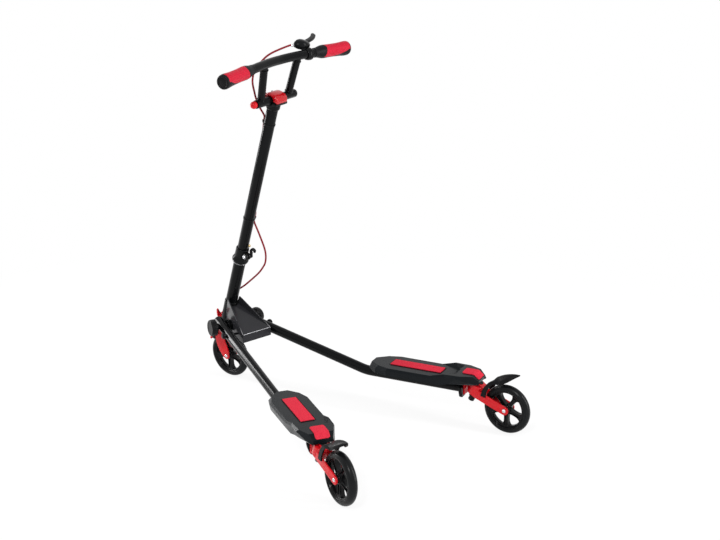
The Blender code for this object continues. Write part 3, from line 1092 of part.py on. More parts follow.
def caster(word, side, deck):
    """The trailing wheel of one arm, with its bracket, kingpin, fork and mudguard."""
    # Bracket: a front plate on the arm's end and a leaning roof that holds the kingpin
    roof_low = SWIVEL_HEIGHT / 2 + GAP
    roof_high = roof_low + BRACKET_WALL
    plate_back = BRACKET_FRONT - BRACKET_PLATE
    caster_line = frame_empty("caster_line_" + word, deck, (0.0, 0.0, 0.0), (0.0, 0.0, side * caster_turn))
    front = BRACKET_FRONT + 0.0040
    outline = [(front, BRACKET_BOTTOM), (front, BRACKET_SHOULDER), bracket_line(0.0220, roof_high),
               bracket_line(-0.0200, roof_high), bracket_line(-0.0200, roof_low),
               bracket_line(0.0235, roof_low), (plate_back, BRACKET_SHOULDER - 0.0040),
               (plate_back, BRACKET_BOTTOM)]
    bracket = flat("bracket", [outline], 2 * BRACKET_HALF_WIDTH, "Y")
    pin_room = rod("pin_room", KINGPIN_RADIUS + GAP, 0.0, 0.05, steps=16)
    pin_room.data.transform(Matrix.Translation((0, 0, HEAD_CENTRE_HEIGHT))
                            @ Matrix.Rotation(-CASTER_LEAN, 4, "Y"))
    worked(bracket, pin_room, "DIFFERENCE")
    arm_end = box("arm_end", (ARM_END - GAP, -0.05, 0.0), (ARM_END + 0.05, 0.05, 0.2))
    arm_end.data.transform(Matrix.Rotation(-side * caster_turn, 4, "Z"))
    worked(bracket, arm_end, "DIFFERENCE")
    place(bracket, word + "_caster_bracket", RED_PAINT, caster_line)

    head_top = SWIVEL_HEIGHT / 2
    head_low = roof_high + GAP
    centre = (0.0, 0.0, HEAD_CENTRE_HEIGHT)
    king_line = frame_empty("kingpin_line_" + word, caster_line, centre, (0.0, -CASTER_LEAN, 0.0))
    washer = -head_top - GAP
    profile = [(0.0, head_low + KINGPIN_HEAD), (KINGPIN_HEAD_RADIUS, head_low + KINGPIN_HEAD),
               (KINGPIN_HEAD_RADIUS, head_low), (KINGPIN_RADIUS, head_low), (KINGPIN_RADIUS, washer),
               (0.0130, washer), (0.0130, washer - 0.0025), (0.0100, washer - 0.0040),
               (0.0100, washer - 0.0110), (KINGPIN_NUT_RADIUS, washer - 0.0120),
               (KINGPIN_NUT_RADIUS, washer - KINGPIN_TAIL), (0.0, washer - KINGPIN_TAIL)]
    place(turned("kingpin", profile, steps=20), word + "_kingpin", BLACK_PAINT, king_line)

    # Caster fork: a round head on the kingpin, with two blades that trail down to the axle
    swivel = frame_empty("swivel_axis_" + word, caster_line, centre, (0.0, -CASTER_LEAN, 0.0))
    trail = frame_empty("trail_line_" + word, swivel, (0.0, 0.0, 0.0), (0.0, CASTER_LEAN, 0.0))
    profile = [(SWIVEL_RADIUS - 0.0012, head_top), (SWIVEL_RADIUS, head_top - 0.0012),
               (SWIVEL_RADIUS, -head_top + 0.0012), (SWIVEL_RADIUS - 0.0012, -head_top),
               (KINGPIN_RADIUS + GAP, -head_top), (KINGPIN_RADIUS + GAP, head_top)]
    fork = turned("head", profile, closed=True)
    fork.data.transform(Matrix.Rotation(-CASTER_LEAN, 4, "Y"))
    wheel_spot = (-CASTER_TRAIL, 0.0, WHEEL_RADIUS - HEAD_CENTRE_HEIGHT)
    top = Vector((BLADE_TOP[0], BLADE_TOP[1] - HEAD_CENTRE_HEIGHT))
    low = Vector((wheel_spot[0], wheel_spot[2]))
    slant = math.degrees(math.atan2(top.y - low.y, top.x - low.x))
    outline = arc(top, BLADE_END_RADIUS, slant - 90, slant + 90, 8)
    outline += arc(low, BLADE_END_RADIUS, slant + 90, slant + 270, 8)
    hole = circle(low, AXLE_RADIUS + BOLT_CLEARANCE)
    middle = BLADE_INSIDE + BLADE_THICKNESS / 2
    for hand in (1, -1):
        blade = flat("blade", [outline, hole], BLADE_THICKNESS, "Y", (0.0, hand * middle, 0.0))
        worked(fork, blade, "UNION")
    king_way = rod("king_way", KINGPIN_RADIUS + GAP, -0.06, 0.06, steps=16)
    king_way.data.transform(Matrix.Rotation(-CASTER_LEAN, 4, "Y"))
    worked(fork, king_way, "DIFFERENCE")
    place(fork, word + "_caster_fork", RED_PAINT, trail)

    mudguard(word, trail, wheel_spot)
    spin = frame_empty("rear_axle_line_" + word, trail, wheel_spot)
    wheel("rear_" + word, spin, (0.0, 0.0, 0.0))
    axle("rear_" + word + "_axle", trail, wheel_spot)


def mudguard(word, trail, wheel_spot):
    """A moulded leaf over the tyre on two legs, which stand on the outside of the blades."""
    inside = blade_outside + GAP
    outside = inside + GUARD_LEG_WIDTH
    guard = flat("guard", [ribbon(GUARD_LINE, GUARD_THICKNESS)], 4 * outside, "Y")
    front = GUARD_LINE[0][0] + 0.0100
    tip = GUARD_LINE[-1][0] + 0.0010
    fork_point = 0.0220
    half = GUARD_LEAF_HALF
    outer = [(front, outside), (0.0480, outside), (0.0250, half + 0.0010), (0.0, half),
             (-0.0200, half * 0.75)]
    notch = [(front, inside), (0.0500, inside), (0.0330, half - 0.0035), (fork_point, 0.0)]
    plan = outer + [(tip, 0.0)] + [(x, -y) for x, y in outer[::-1]]
    plan += [(x, -y) for x, y in notch] + [(x, y) for x, y in notch[-2::-1]]
    worked(guard, flat("leaf", [plan], 0.30, "Z", (0.0, 0.0, 0.05)), "INTERSECT")
    place(guard, word + "_mudguard", BLACK_PLASTIC, trail, wheel_spot)


for word, side in (("left", 1), ("right", -1)):
    arm_group(word, side)


def centre_on_ground():
    """Moves everything so that the origin is on the ground under the middle."""
    bpy.context.view_layer.update()
    depsgraph = bpy.context.evaluated_depsgraph_get()
    low = Vector((1e9, 1e9, 1e9))
    high = -low
    for piece in PARTS.objects:
        if piece.type != "MESH":
            continue
        evaluated = piece.evaluated_get(depsgraph)
        for vertex in evaluated.data.vertices:
            spot = piece.matrix_world @ vertex.co
            low = Vector(map(min, low, spot))
            high = Vector(map(max, high, spot))
    ground.location = (-(low.x + high.x) / 2, -(low.y + high.y) / 2, -low.z)


centre_on_ground()
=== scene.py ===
"""Three-wheeled swing scooter, dressed for its photograph: each solid of the frame is given
its real edges, welds, screws and finish, in the order in which the scooter goes together.

The axes are the frame's own: +X forward, +Y to the rider's left, +Z up. The studio is written
in metres and the pieces in millimetres, which become metres where a mesh or a place is made.
"""

import math

import bmesh
import bpy
from mathutils import Matrix, Vector


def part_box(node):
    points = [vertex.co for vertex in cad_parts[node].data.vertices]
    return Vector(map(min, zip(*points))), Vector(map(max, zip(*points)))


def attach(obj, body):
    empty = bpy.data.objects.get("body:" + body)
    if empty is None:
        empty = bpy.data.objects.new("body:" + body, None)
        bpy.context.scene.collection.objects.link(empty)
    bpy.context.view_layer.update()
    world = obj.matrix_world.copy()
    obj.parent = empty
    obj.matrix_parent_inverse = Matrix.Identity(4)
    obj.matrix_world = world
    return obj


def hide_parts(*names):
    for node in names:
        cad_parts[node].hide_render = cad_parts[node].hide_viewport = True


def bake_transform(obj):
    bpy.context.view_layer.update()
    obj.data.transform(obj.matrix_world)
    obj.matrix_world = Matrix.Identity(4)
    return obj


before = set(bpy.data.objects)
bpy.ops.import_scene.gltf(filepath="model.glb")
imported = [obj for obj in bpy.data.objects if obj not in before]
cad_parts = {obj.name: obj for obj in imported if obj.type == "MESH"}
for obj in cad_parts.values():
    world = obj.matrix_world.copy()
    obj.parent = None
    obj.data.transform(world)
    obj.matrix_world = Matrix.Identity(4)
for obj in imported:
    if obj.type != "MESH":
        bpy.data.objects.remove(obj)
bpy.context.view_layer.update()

# Photograph: a long lens at chest height, behind and to the left of the scooter, in a white
# sweep. A soft key light hangs over the camera's left, one tall strip stands to the camera's
# right and another ahead of the scooter.
camera_back = Vector((-0.698, 0.649, 0.303)).normalized()
camera_right = Vector((-0.681, -0.732, 0.0))
camera_right = (camera_right - camera_back * camera_right.dot(camera_back)).normalized()
camera_turn = Matrix((camera_right, camera_back.cross(camera_right), camera_back)).transposed()
camera_data = bpy.data.cameras.new("photograph_camera")
camera_data.sensor_width = 36
camera_data.lens = 65.35
camera = bpy.data.objects.new("photograph_camera", camera_data)
camera.matrix_world = Matrix.Translation((-2.30817, 2.0104, 1.3650)) @ camera_turn.to_4x4()
bpy.context.scene.collection.objects.link(camera)
bpy.context.scene.camera = camera
bpy.context.scene.view_settings.view_transform = "Standard"


def soft_light(name, place, width, height, power):
    """An upright lamp that faces the middle of the scooter."""
    lamp = bpy.data.lights.new(name, "AREA")
    lamp.shape = "RECTANGLE"
    lamp.size = width
    lamp.size_y = height
    lamp.energy = power
    holder = bpy.data.objects.new(name, lamp)
    holder.location = place
    away = Vector(place) - Vector((0, 0, 0.4))
    holder.rotation_euler = away.to_track_quat("Z", "Y").to_euler()
    bpy.context.scene.collection.objects.link(holder)


soft_light("key_light", (-1.6, 2.4, 2.6), 0.6, 0.6, 56)
soft_light("side_strip", (-2.6, -1.4, 1.4), 0.30, 2.4, 70)
soft_light("front_strip", (2.6, 1.0, 1.4), 0.30, 2.4, 64)


def node(tree, kind, inputs=None, **settings):
    """Adds a node with its settings, each input set to a value or linked to an output, and
    gives its outputs."""
    made = tree.nodes.new(kind)
    for name, value in settings.items():
        setattr(made, name, value)
    for socket, value in (inputs or {}).items():
        if isinstance(value, bpy.types.NodeSocket):
            tree.links.new(value, made.inputs[socket])
        else:
            made.inputs[socket].default_value = value
    return made.outputs


# The camera and every reflection see pure white, whatever the sky gives in light
world = bpy.data.worlds.new("white_studio")
bpy.context.scene.world = world
world.use_nodes = True
studio = world.node_tree
sky = studio.nodes["Background"]
sky.inputs["Color"].default_value = (1, 1, 1, 1)
sky.inputs["Strength"].default_value = 0.62
ray = node(studio, "ShaderNodeLightPath")
glance = node(studio, "ShaderNodeMath", {0: ray["Is Glossy Ray"], 1: ray["Is Transmission Ray"]},
              operation="MAXIMUM")[0]
seen = node(studio, "ShaderNodeMath", {0: ray["Is Camera Ray"], 1: glance},
            operation="MAXIMUM")[0]
white = node(studio, "ShaderNodeBackground", {"Color": (1, 1, 1, 1)})[0]
lit = node(studio, "ShaderNodeMixShader", {0: seen, 1: sky.outputs[0], 2: white})[0]
studio.links.new(lit, studio.nodes["World Output"].inputs["Surface"])

# The floor is white paper of which the camera keeps a little shadow round the wheels only
floor_mesh = bpy.data.meshes.new("studio_floor")
floor_mesh.from_pydata([(-7, -7, 0), (7, -7, 0), (7, 7, 0), (-7, 7, 0)], [], [(0, 1, 2, 3)])
floor = bpy.data.objects.new("studio_floor", floor_mesh)
bpy.context.scene.collection.objects.link(floor)
floor_finish = bpy.data.materials.new("floor_paper")
floor_finish.use_nodes = True
paper = floor_finish.node_tree
matt = paper.nodes["Principled BSDF"]
matt.inputs["Base Color"].default_value = (0.93, 0.93, 0.93, 1)
matt.inputs["Roughness"].default_value = 0.9
glow = node(paper, "ShaderNodeEmission", {"Strength": 1.0})[0]
where = node(paper, "ShaderNodeTexCoord")["Object"]
away = node(paper, "ShaderNodeVectorMath", {0: where}, operation="LENGTH")["Value"]
fade = node(paper, "ShaderNodeMapRange", {"Value": away, "From Min": 0.5, "From Max": 1.6,
                                          "To Min": 0.86, "To Max": 1.0})[0]
bleached = node(paper, "ShaderNodeMixShader", {0: fade, 1: matt.outputs[0], 2: glow})[0]
ray = node(paper, "ShaderNodeLightPath")["Is Camera Ray"]
either = node(paper, "ShaderNodeMixShader", {0: ray, 1: matt.outputs[0], 2: bleached})[0]
paper.links.new(either, paper.nodes["Material Output"].inputs["Surface"])
floor_mesh.materials.append(floor_finish)


# Wheels: three alike, a poured urethane tyre on a moulded five-spoke hub with a raised rim
# lip and a channel down each side of every spoke; each turns on a bolt through its blades.
def node_group(name, kind, inputs, outputs):
    """A new node group: its tree, what comes in and what it gives out."""
    tree = bpy.data.node_groups.new(name, kind)
    for way, sockets in (("INPUT", inputs), ("OUTPUT", outputs)):
        for label, socket in sockets.items():
            tree.interface.new_socket(name=label, in_out=way, socket_type="NodeSocket" + socket)
    return tree, tree.nodes.new("NodeGroupInput").outputs, tree.nodes.new("NodeGroupOutput").inputs


# Broad and fine variation over a surface, which every finish shares
surface_grain, size, given = node_group(
    "surface_grain", "ShaderNodeTree", {"Broad size": "Float", "Fine size": "Float"},
    {"Broad": "Float", "Fine": "Float"})
where = node(surface_grain, "ShaderNodeTexCoord")["Object"]
for name, detail in (("Broad", 3.0), ("Fine", 2.0)):
    noise = node(surface_grain, "ShaderNodeTexNoise",
                 {"Vector": where, "Scale": size[name + " size"], "Detail": detail})
    surface_grain.links.new(noise["Fac"], given[name])


def mixed(tree, share, first, second):
    """A colour between two others, each a triple or what a node gives."""
    first, second = [one if isinstance(one, bpy.types.NodeSocket) else (*one, 1)
                     for one in (first, second)]
    return node(tree, "ShaderNodeMix", {0: share, 6: first, 7: second}, data_type="RGBA")[2]


MM = 0.001


def finish(name, colour, other, gloss, sizes, relief, shine=0.5, metallic=0.0, coat=0.0):
    """A finish whose colour runs between two, its roughness between two and its fine relief
    as deep as given; the sizes are those of the broad and the fine grain."""
    material = bpy.data.materials.new(name)
    material.use_nodes = True
    tree = material.node_tree
    shader = tree.nodes["Principled BSDF"].inputs
    shader["Metallic"].default_value = metallic
    shader["Coat Weight"].default_value = coat
    shader["Coat Roughness"].default_value = 0.06
    shader["Specular IOR Level"].default_value = shine
    grain = node(tree, "ShaderNodeGroup", {"Broad size": sizes[0], "Fine size": sizes[1]},
                 node_tree=surface_grain)
    spread = node(tree, "ShaderNodeMapRange",
                  {"Value": grain["Broad"], "From Min": 0.3, "From Max": 0.7,
                   "To Min": gloss[0], "To Max": gloss[1]})[0]
    bump = node(tree, "ShaderNodeBump", {"Height": grain["Fine"], "Distance": relief * MM,
                                         "Strength": 1.0}, name="relief")[0]
    tree.links.new(mixed(tree, grain["Broad"], colour, other), shader["Base Color"])
    tree.links.new(spread, shader["Roughness"])
    tree.links.new(bump, shader["Normal"])
    return material


tyre_urethane = finish("smoky_urethane", (0.0035, 0.0038, 0.0042), (0.0060, 0.0066, 0.0074),
                       (0.24, 0.34), (18, 320), 0.006, 0.12)
hub_nylon = finish("black_nylon", (0.0022, 0.0022, 0.0026), (0.0040, 0.0040, 0.0046),
                   (0.14, 0.24), (40, 300), 0.004, 0.12)
zinc = finish("bright_zinc", (0.58, 0.58, 0.60), (0.74, 0.74, 0.76), (0.18, 0.32),
              (120, 1800), 0.02, metallic=1.0)


def metres(points):
    """Points given in millimetres, in metres."""
    return [tuple(value * MM for value in point) for point in points]


def at(x, y, z):
    """The place so many millimetres from the origin."""
    return Matrix.Translation(metres([(x, y, z)])[0])


def spun(degrees, axis):
    """The turn about an axis."""
    return Matrix.Rotation(math.radians(degrees), 4, axis)


still = Matrix.Identity(4)
along_x = spun(90, "Y")
along_y = spun(-90, "X")
facing_y = spun(90, "X")
facing_x = spun(90, "Z") @ facing_y


def as_mesh(shape):
    """The plain mesh of a shape that was being worked."""
    mesh = bpy.data.meshes.new("shape")
    shape.to_mesh(mesh)
    shape.free()
    return mesh


def eased(points, radius, closed=False, steps=3):
    """A line of (x, y) pairs with its corners rounded."""
    made = []
    count = len(points)
    for i, point in enumerate(points):
        here = Vector(point[:2])
        if not closed and i in (0, count - 1):
            made.append(tuple(here))
            continue
        before = Vector(points[i - 1][:2]) - here
        after = Vector(points[(i + 1) % count][:2]) - here
        room = min(radius, before.length * 0.45, after.length * 0.45)
        start = here + before.normalized() * room
        end = here + after.normalized() * room
        for step in range(steps + 1):
            t = step / steps
            spot = start * (1 - t) ** 2 + here * 2 * t * (1 - t) + end * t ** 2
            made.append(tuple(spot))
    return made


def turned(profile, steps, ease=0, closed=False):
    """A mesh turned about Z from (radius, height) pairs, its corners eased; a third number
    makes that ring a regular polygon of so many flats."""
    if ease:
        profile = eased(profile, ease, closed)
    shape = bmesh.new()
    rings = []
    for radius, height, *flats in profile:
        ring = []
        for i in range(steps if radius > MM else 1):
            angle = math.tau * i / steps
            reach = radius * MM
            if flats:
                part = math.tau / flats[0]
                reach /= math.cos((angle % part) - part / 2)
            spot = (reach * math.cos(angle), reach * math.sin(angle), height * MM)
            ring.append(shape.verts.new(spot))
        rings.append(ring)
    for above, below in zip(rings, rings[1:] + (rings[:1] if closed else [])):
        for i in range(steps):
            j = (i + 1) % steps
            corners = (above[i % len(above)], above[j % len(above)],
                       below[j % len(below)], below[i % len(below)])
            corners = list(dict.fromkeys(corners))
            if len(corners) > 2:
                shape.faces.new(corners)
    bmesh.ops.recalc_face_normals(shape, faces=shape.faces)
    return as_mesh(shape)


def loft(rings, merge=0):
    """A skin through rings of as many points each, capped; faces that meet at less than the
    merging angle become one."""
    shape = bmesh.new()
    loops = [[shape.verts.new(point) for point in metres(ring)] for ring in rings]
    for near, far in zip(loops, loops[1:]):
        for i in range(len(near)):
            j = (i + 1) % len(near)
            shape.faces.new((near[i], near[j], far[j], far[i]))
    shape.faces.new(reversed(loops[0]))
    shape.faces.new(loops[-1])
    bmesh.ops.recalc_face_normals(shape, faces=shape.faces)
    if merge:
        bmesh.ops.triangulate(shape, faces=shape.faces)
        bmesh.ops.dissolve_limit(shape, angle_limit=math.radians(merge), verts=shape.verts,
                                 edges=shape.edges)
    return as_mesh(shape)


def joined(parts):
    """One mesh of several, each a (mesh, place) pair."""
    shape = bmesh.new()
    for mesh, place in parts:
        copy = mesh.copy()
        copy.transform(place)
        shape.from_mesh(copy)
        bpy.data.meshes.remove(copy)
    return as_mesh(shape)


def fitted(name, mesh, place, body, material, slot, *stands_for, soften=0, sharp=40):
    """Puts a finished mesh in its place on its body, instead of the solids it stands for."""
    mesh.transform(place)
    if place.determinant() < 0:
        mesh.flip_normals()
    mesh.name = name
    mesh.shade_smooth()
    mesh.set_sharp_from_angle(angle=math.radians(sharp))
    if not mesh.materials:
        mesh.materials.append(material)
    piece = bpy.data.objects.new(name, mesh)
    bpy.context.scene.collection.objects.link(piece)
    if soften:
        bevel = piece.modifiers.new("soften", "BEVEL")
        bevel.width = soften * MM
        bevel.segments = 2
        bevel.limit_method = "ANGLE"
        bevel.angle_limit = math.radians(sharp)
        bevel.harden_normals = True
    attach(piece, body)
    if stands_for:
        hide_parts(*stands_for)


def evaluated(holder):
    """The plain mesh that an object comes to; the object goes."""
    bpy.context.scene.collection.objects.link(holder)
    bpy.context.view_layer.update()
    whole = holder.evaluated_get(bpy.context.evaluated_depsgraph_get())
    mesh = bpy.data.meshes.new_from_object(whole)
    bpy.data.objects.remove(holder)
    return mesh


def grown(mesh, tree, values):
    """The plain mesh that a node tree makes of another, with the tree's inputs set."""
    holder = bpy.data.objects.new("holder", mesh)
    modifier = holder.modifiers.new("grown", "NODES")
    modifier.node_group = tree
    for item in tree.interface.items_tree:
        if item.item_type == "SOCKET" and item.in_out == "INPUT" and item.name in values:
            modifier[item.identifier] = values[item.name]
    return evaluated(holder)


def give_out(tree, geometry, finish, out):
    """Ends a node tree with real geometry that has its material."""
    real = node(tree, "GeometryNodeRealizeInstances", {0: geometry})[0]
    dressed = node(tree, "GeometryNodeSetMaterial", {"Geometry": real, "Material": finish})[0]
    tree.links.new(dressed, out)


# A mesh repeated round Z
ring_of_copies, asked, given = node_group(
    "ring_of_copies", "GeometryNodeTree",
    {"One": "Geometry", "Count": "Int", "First angle": "Float", "Finish": "Material"},
    {"Ring": "Geometry"})
points = node(ring_of_copies, "GeometryNodePoints", {"Count": asked["Count"]})[0]
index = node(ring_of_copies, "GeometryNodeInputIndex")[0]
share = node(ring_of_copies, "ShaderNodeMath", {0: index, 1: asked["Count"]},
             operation="DIVIDE")[0]
angle = node(ring_of_copies, "ShaderNodeMath", {0: share, 1: math.tau, 2: asked["First angle"]},
             operation="MULTIPLY_ADD")[0]
facing = node(ring_of_copies, "ShaderNodeCombineXYZ", {"Z": angle})[0]
copies = node(ring_of_copies, "GeometryNodeInstanceOnPoints",
              {"Points": points, "Instance": asked["One"], "Rotation": facing})[0]
give_out(ring_of_copies, copies, asked["Finish"], given["Ring"])

WHEEL_RADIUS = 62.5
SPOKES = 5


def arc(centre, radius, start, end, steps):
    """Points on an arc, its angles in degrees."""
    points = []
    for step in range(steps + 1):
        angle = math.radians(start + (end - start) * step / steps)
        points.append((centre[0] + radius * math.cos(angle), centre[1] + radius * math.sin(angle)))
    return points


def doubled(half):
    """A whole profile from its upper half; a point at no height is not repeated."""
    return half + [(r, -z) for r, z in half[::-1] if z]


def tyre_shape():
    """A round tread with a shallow groove above the bead on each side."""
    crown = 11.5
    half = [(50, 10.8), (50.6, 11.4), (51.5, 11.5)]
    half += [p for p in arc((WHEEL_RADIUS - crown, 0), crown, 90, 4, 16) if p[0] > 52.5]
    half = half[:4] + [(54.9, 10.3), (55.3, 10.5)] + [p for p in half[4:] if p[0] > 56]
    return turned(doubled(half), 128, closed=True)


def rim_and_boss():
    """The hub's rim with its lips and the boss round the bearings."""
    side = [(49.7, 9.8), (49.3, 10.4), (47.6, 10.4), (47, 9.8), (46.2, 8), (43.8, 7.4),
            (43.2, 6.6), (43.2, 0)]
    face = [(4.3, 13.4), (4.6, 13.7), (8, 13.7), (8.6, 13.1), (9, 10), (11.2, 9.2), (12.2, 8.4),
            (12.5, 7.2)]
    return turned(doubled(side), 128, closed=True), turned(doubled(face), 64, closed=True)


def spoke_shape():
    """One spoke, flared into the rim and the boss, with a channel down each side."""
    rings = []
    high = 6.6
    for radius, half, depth in (
            (10.5, 7.4, 0), (13, 6.8, 0.2), (15, 6, 2.6), (19, 5.4, 3.4), (26, 5.2, 3.4),
            (32, 5.6, 3.4), (36, 6.8, 3), (39, 8.4, 2.2), (41.2, 10.6, 0.3), (43, 13.6, 0),
            (44, 16, 0)):
        rib = 1.9 + max(0, half - 6.8)
        side = [(half, high - 0.6), (half - 0.6, high), (half - rib, high),
                (half - rib - 0.8, high - depth)]
        upper = [(-y, z) for y, z in side] + side[::-1]
        rings.append([(radius, y, z) for y, z in doubled(upper)])
    return loft(rings)


def wheel(prefix, body, place):
    """The tyre and the hub of one wheel, turned into their place."""
    fitted(prefix + "_tyre_ring", tyre_shape(), place @ along_y, body, tyre_urethane,
           "tyre_urethane", prefix + "_tyre")
    spokes = grown(spoke_shape(), ring_of_copies,
                   {"Count": SPOKES, "First angle": math.radians(90), "Finish": hub_nylon})
    hub = joined([(part, still) for part in (*rim_and_boss(), spokes)])
    fitted(prefix + "_spoked_hub", hub, place @ along_y, body, hub_nylon, "hub_plastic",
           prefix + "_hub", soften=0.4)


def axle_bolt(solid, body, place):
    """A domed socket screw through both blades, with a washer under its head and a nut."""
    face = 18.3
    head = [(0, face + 0.4), (1.7, face + 0.4, 6), (1.7, face + 1.8, 6), (2.3, face + 2),
            (3, face + 1.8), (3.6, face + 1.2), (3.8, face + 0.6), (3.8, face + 0.3),
            (4.6, face + 0.3), (4.8, face), (4, face)]
    nut = [(4, -face), (5.6, -face), (5.4, -face - 0.3), (4.8, -face - 0.3, 6),
           (4.6, -face - 1.8, 6), (3, -face - 2), (0, -face - 2)]
    fitted(solid + "_bolt", turned(head + nut, 48), place @ along_y, body, zinc, "zinc_steel",
           solid, sharp=30)


# The steering axis leans back and the bars are turned a little to the left
RAKE = 19.3
AXIS_AHEAD = 439.028
BAR_TURN = 10.3
straight = at(AXIS_AHEAD, 0, 0) @ spun(-RAKE, "Y")
column = straight @ spun(BAR_TURN, "Z")
low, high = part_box("front_tyre")
front_place = Matrix.Translation((low + high) / 2) @ column.to_3x3().to_4x4() @ spun(RAKE, "Y")
wheel("front", "front_wheel", front_place)
axle_bolt("front_axle", "fork_and_column", front_place)

# Front fork: two leaf-shaped steel blades under an arched crown, welded, with a strip bent up
# ahead of the head tube that carries the brake, all powder coated in gloss red.
gloss_red = finish("gloss_red_coat", (0.48, 0.004, 0.009), (0.56, 0.006, 0.012), (0.18, 0.26),
                   (14, 240), 0.004, 0.20, coat=0.04)


def drawn(curve, lines, closed):
    """The clean mesh that a curve makes along lines of points."""
    for line in lines:
        spline = curve.splines.new("POLY")
        spline.points.add(len(line) - 1)
        for point, place in zip(spline.points, metres(line)):
            point.co = (*(*place, 0)[:3], 1)
        spline.use_cyclic_u = closed
    return cleaned(evaluated(bpy.data.objects.new("curve", curve)))


def cleaned(mesh):
    """The same mesh without doubled points and with its normals outwards."""
    shape = bmesh.new()
    shape.from_mesh(mesh)
    bmesh.ops.remove_doubles(shape, verts=shape.verts, dist=0.000002)
    bmesh.ops.recalc_face_normals(shape, faces=shape.faces)
    shape.to_mesh(mesh)
    shape.free()
    return mesh


def plate(outline, thickness, edge, holes=(), ease=0):
    """A flat outline with holes, as thick as given along Z, its edges rounded and, if asked,
    its corners eased."""
    if ease:
        outline = eased(outline, ease, closed=True)
    curve = bpy.data.curves.new("plate", "CURVE")
    curve.dimensions = "2D"
    curve.fill_mode = "BOTH"
    curve.extrude = (thickness / 2 - edge) * MM
    curve.bevel_depth = edge * MM
    curve.bevel_resolution = 2
    curve.offset = -edge * MM
    return drawn(curve, [outline, *holes], True)


def hole(centre, radius, points):
    """A round hole's outline."""
    return arc(centre, radius, 0, 360 - 360 / points, points - 1)


def oblong(x0, y0, x1, y1):
    """A rectangle's outline."""
    return [(x0, y0), (x1, y0), (x1, y1), (x0, y1)]


def rounded(points, step, closed=False):
    """A smooth line through points, in as many pieces as its length asks for."""
    places = [Vector(point) for point in points]
    if closed:
        ends = [places[-1]] + places + places[:2]
    else:
        ends = [2 * places[0] - places[1]] + places + [2 * places[-1] - places[-2]]
    line = [] if closed else [tuple(places[0])]
    for before, start, end, after in zip(ends, ends[1:], ends[2:], ends[3:]):
        pieces = max(1, round((end - start).length / step))
        for i in range(pieces):
            t = (i if closed else i + 1) / pieces
            spot = 0.5 * (2 * start + (end - before) * t
                          + (2 * before - 5 * start + 4 * end - after) * t * t
                          + (3 * start - before - 3 * end + after) * t * t * t)
            line.append(tuple(spot))
    return line


BLADE_OFFSET = 16
BRAKE_BOLT_HEIGHT = 170
blade_line = [(24, 74), (31.5, 64), (34.8, 54.5), (35, 45), (31.2, 28.5), (22.2, 9.5), (11, -4.5)]
blade_line += arc((0, 0), 10, -50, -200, 10) + [(-9, 14), (-4, 30), (1, 42), (5, 60), (10, 74)]
blade = plate(rounded(blade_line, 3, closed=True), 4, 1.1, [hole((0, 0), 4.3, 24)])
blade_place = column.inverted() @ front_place
shoulder = [(18, 127), (18, 137.5)] + arc((10, 140.2), 8, 0, 90, 6)
arch = plate(shoulder + [(-x, z) for x, z in shoulder[::-1]]
             + [(-14.2, 127), (-14.2, 133), (-11, 136.8), (0, 137.8), (11, 136.8), (14.2, 133),
                (14.2, 127)], 17, 1.2)
crown = turned([(0, 149.4), (17.2, 149.4), (18, 148.6), (18, 144), (16.8, 142.4), (0, 142.4)], 64)
brake_strip = plate([(-6.5, 144), (6.5, 144)] + arc((0, BRAKE_BOLT_HEIGHT), 6.5, 0, 180, 14),
                    2.4, 0.6, [hole((0, BRAKE_BOLT_HEIGHT), 2.9, 18)])
strip_foot = plate(oblong(10, -6.5, 21.6, 6.5), 6, 0.8)
fork = joined([(blade, blade_place @ at(0, y, 0) @ facing_y) for y in (BLADE_OFFSET, -BLADE_OFFSET)]
              + [(arch, at(6.5, 0, 0) @ facing_x), (crown, still),
                 (brake_strip, at(20.4, 0, 0) @ facing_x), (strip_foot, at(0, 0, 145.8))])
fitted("welded_front_fork", fork, column, "fork_and_column", gloss_red, "red_paint", "front_fork")

# Front brake: two forged arms crossed on one bolt, painted red, each with a rubber block
# beside the tyre.
pad_rubber = finish("brake_rubber", (0.012, 0.012, 0.013), (0.020, 0.020, 0.021), (0.6, 0.8),
                    (60, 1500), 0.06, 0.2)


def square_to(line, i):
    """The direction square to a line, on its left, at one of its points."""
    before = Vector(line[max(i - 1, 0)][:2])
    after = Vector(line[min(i + 1, len(line) - 1)][:2])
    along = (after - before).normalized()
    return Vector((-along.y, along.x))


def ribbon(line, widths, ease, step=3):
    """The outline of a flat strip along a smooth centre line, tapering as its widths do."""
    strip = rounded([(x, y, w) for (x, y), w in zip(line, widths)], step)
    left = []
    right = []
    for i, (x, y, width) in enumerate(strip):
        across = square_to(strip, i) * width / 2
        left.append((x + across.x, y + across.y))
        right.append((x - across.x, y - across.y))
    return eased(left + right[::-1], ease, closed=True, steps=2)


for word, side, layer in (("left", 1, 0), ("right", -1, 1)):
    ahead = 24.15 + layer * 4.8
    line = [(side * 22, -66.5), (side * 22.2, -48), (side * 20.2, -30), (side * 12, -13), (0, 0),
            (-side * 8, 11.7), (-side * 15, 26)]
    arm = plate(ribbon(line, [6, 7.5, 7.5, 11.5, 14, 10, 4.5], 1.2), 4.5, 1,
                [hole((0, 0), 2.9, 18)])
    fitted("forged_caliper_arm_" + word, arm, column @ at(ahead, 0, BRAKE_BOLT_HEIGHT) @ facing_x,
           "caliper_" + word, gloss_red, "red_paint", "caliper_arm_" + word)
    block = plate(oblong(-8.7, -4.5, 2.3, 4.5), 4.5, 0.5, ease=1.2)
    fitted("rubber_block_" + word, block, column @ at(ahead, side * 15.75, 108) @ facing_y,
           "caliper_" + word, pad_rubber, "pad_rubber", "brake_pad_" + word)
bolt = turned([(0, 33.6), (2.1, 33.6, 6), (2.1, 35.2, 6), (3, 35.7), (4.6, 35.5), (5, 34.9),
               (5, 31.8), (2.6, 31.6), (2.6, 18.6), (0, 18.6)], 48)
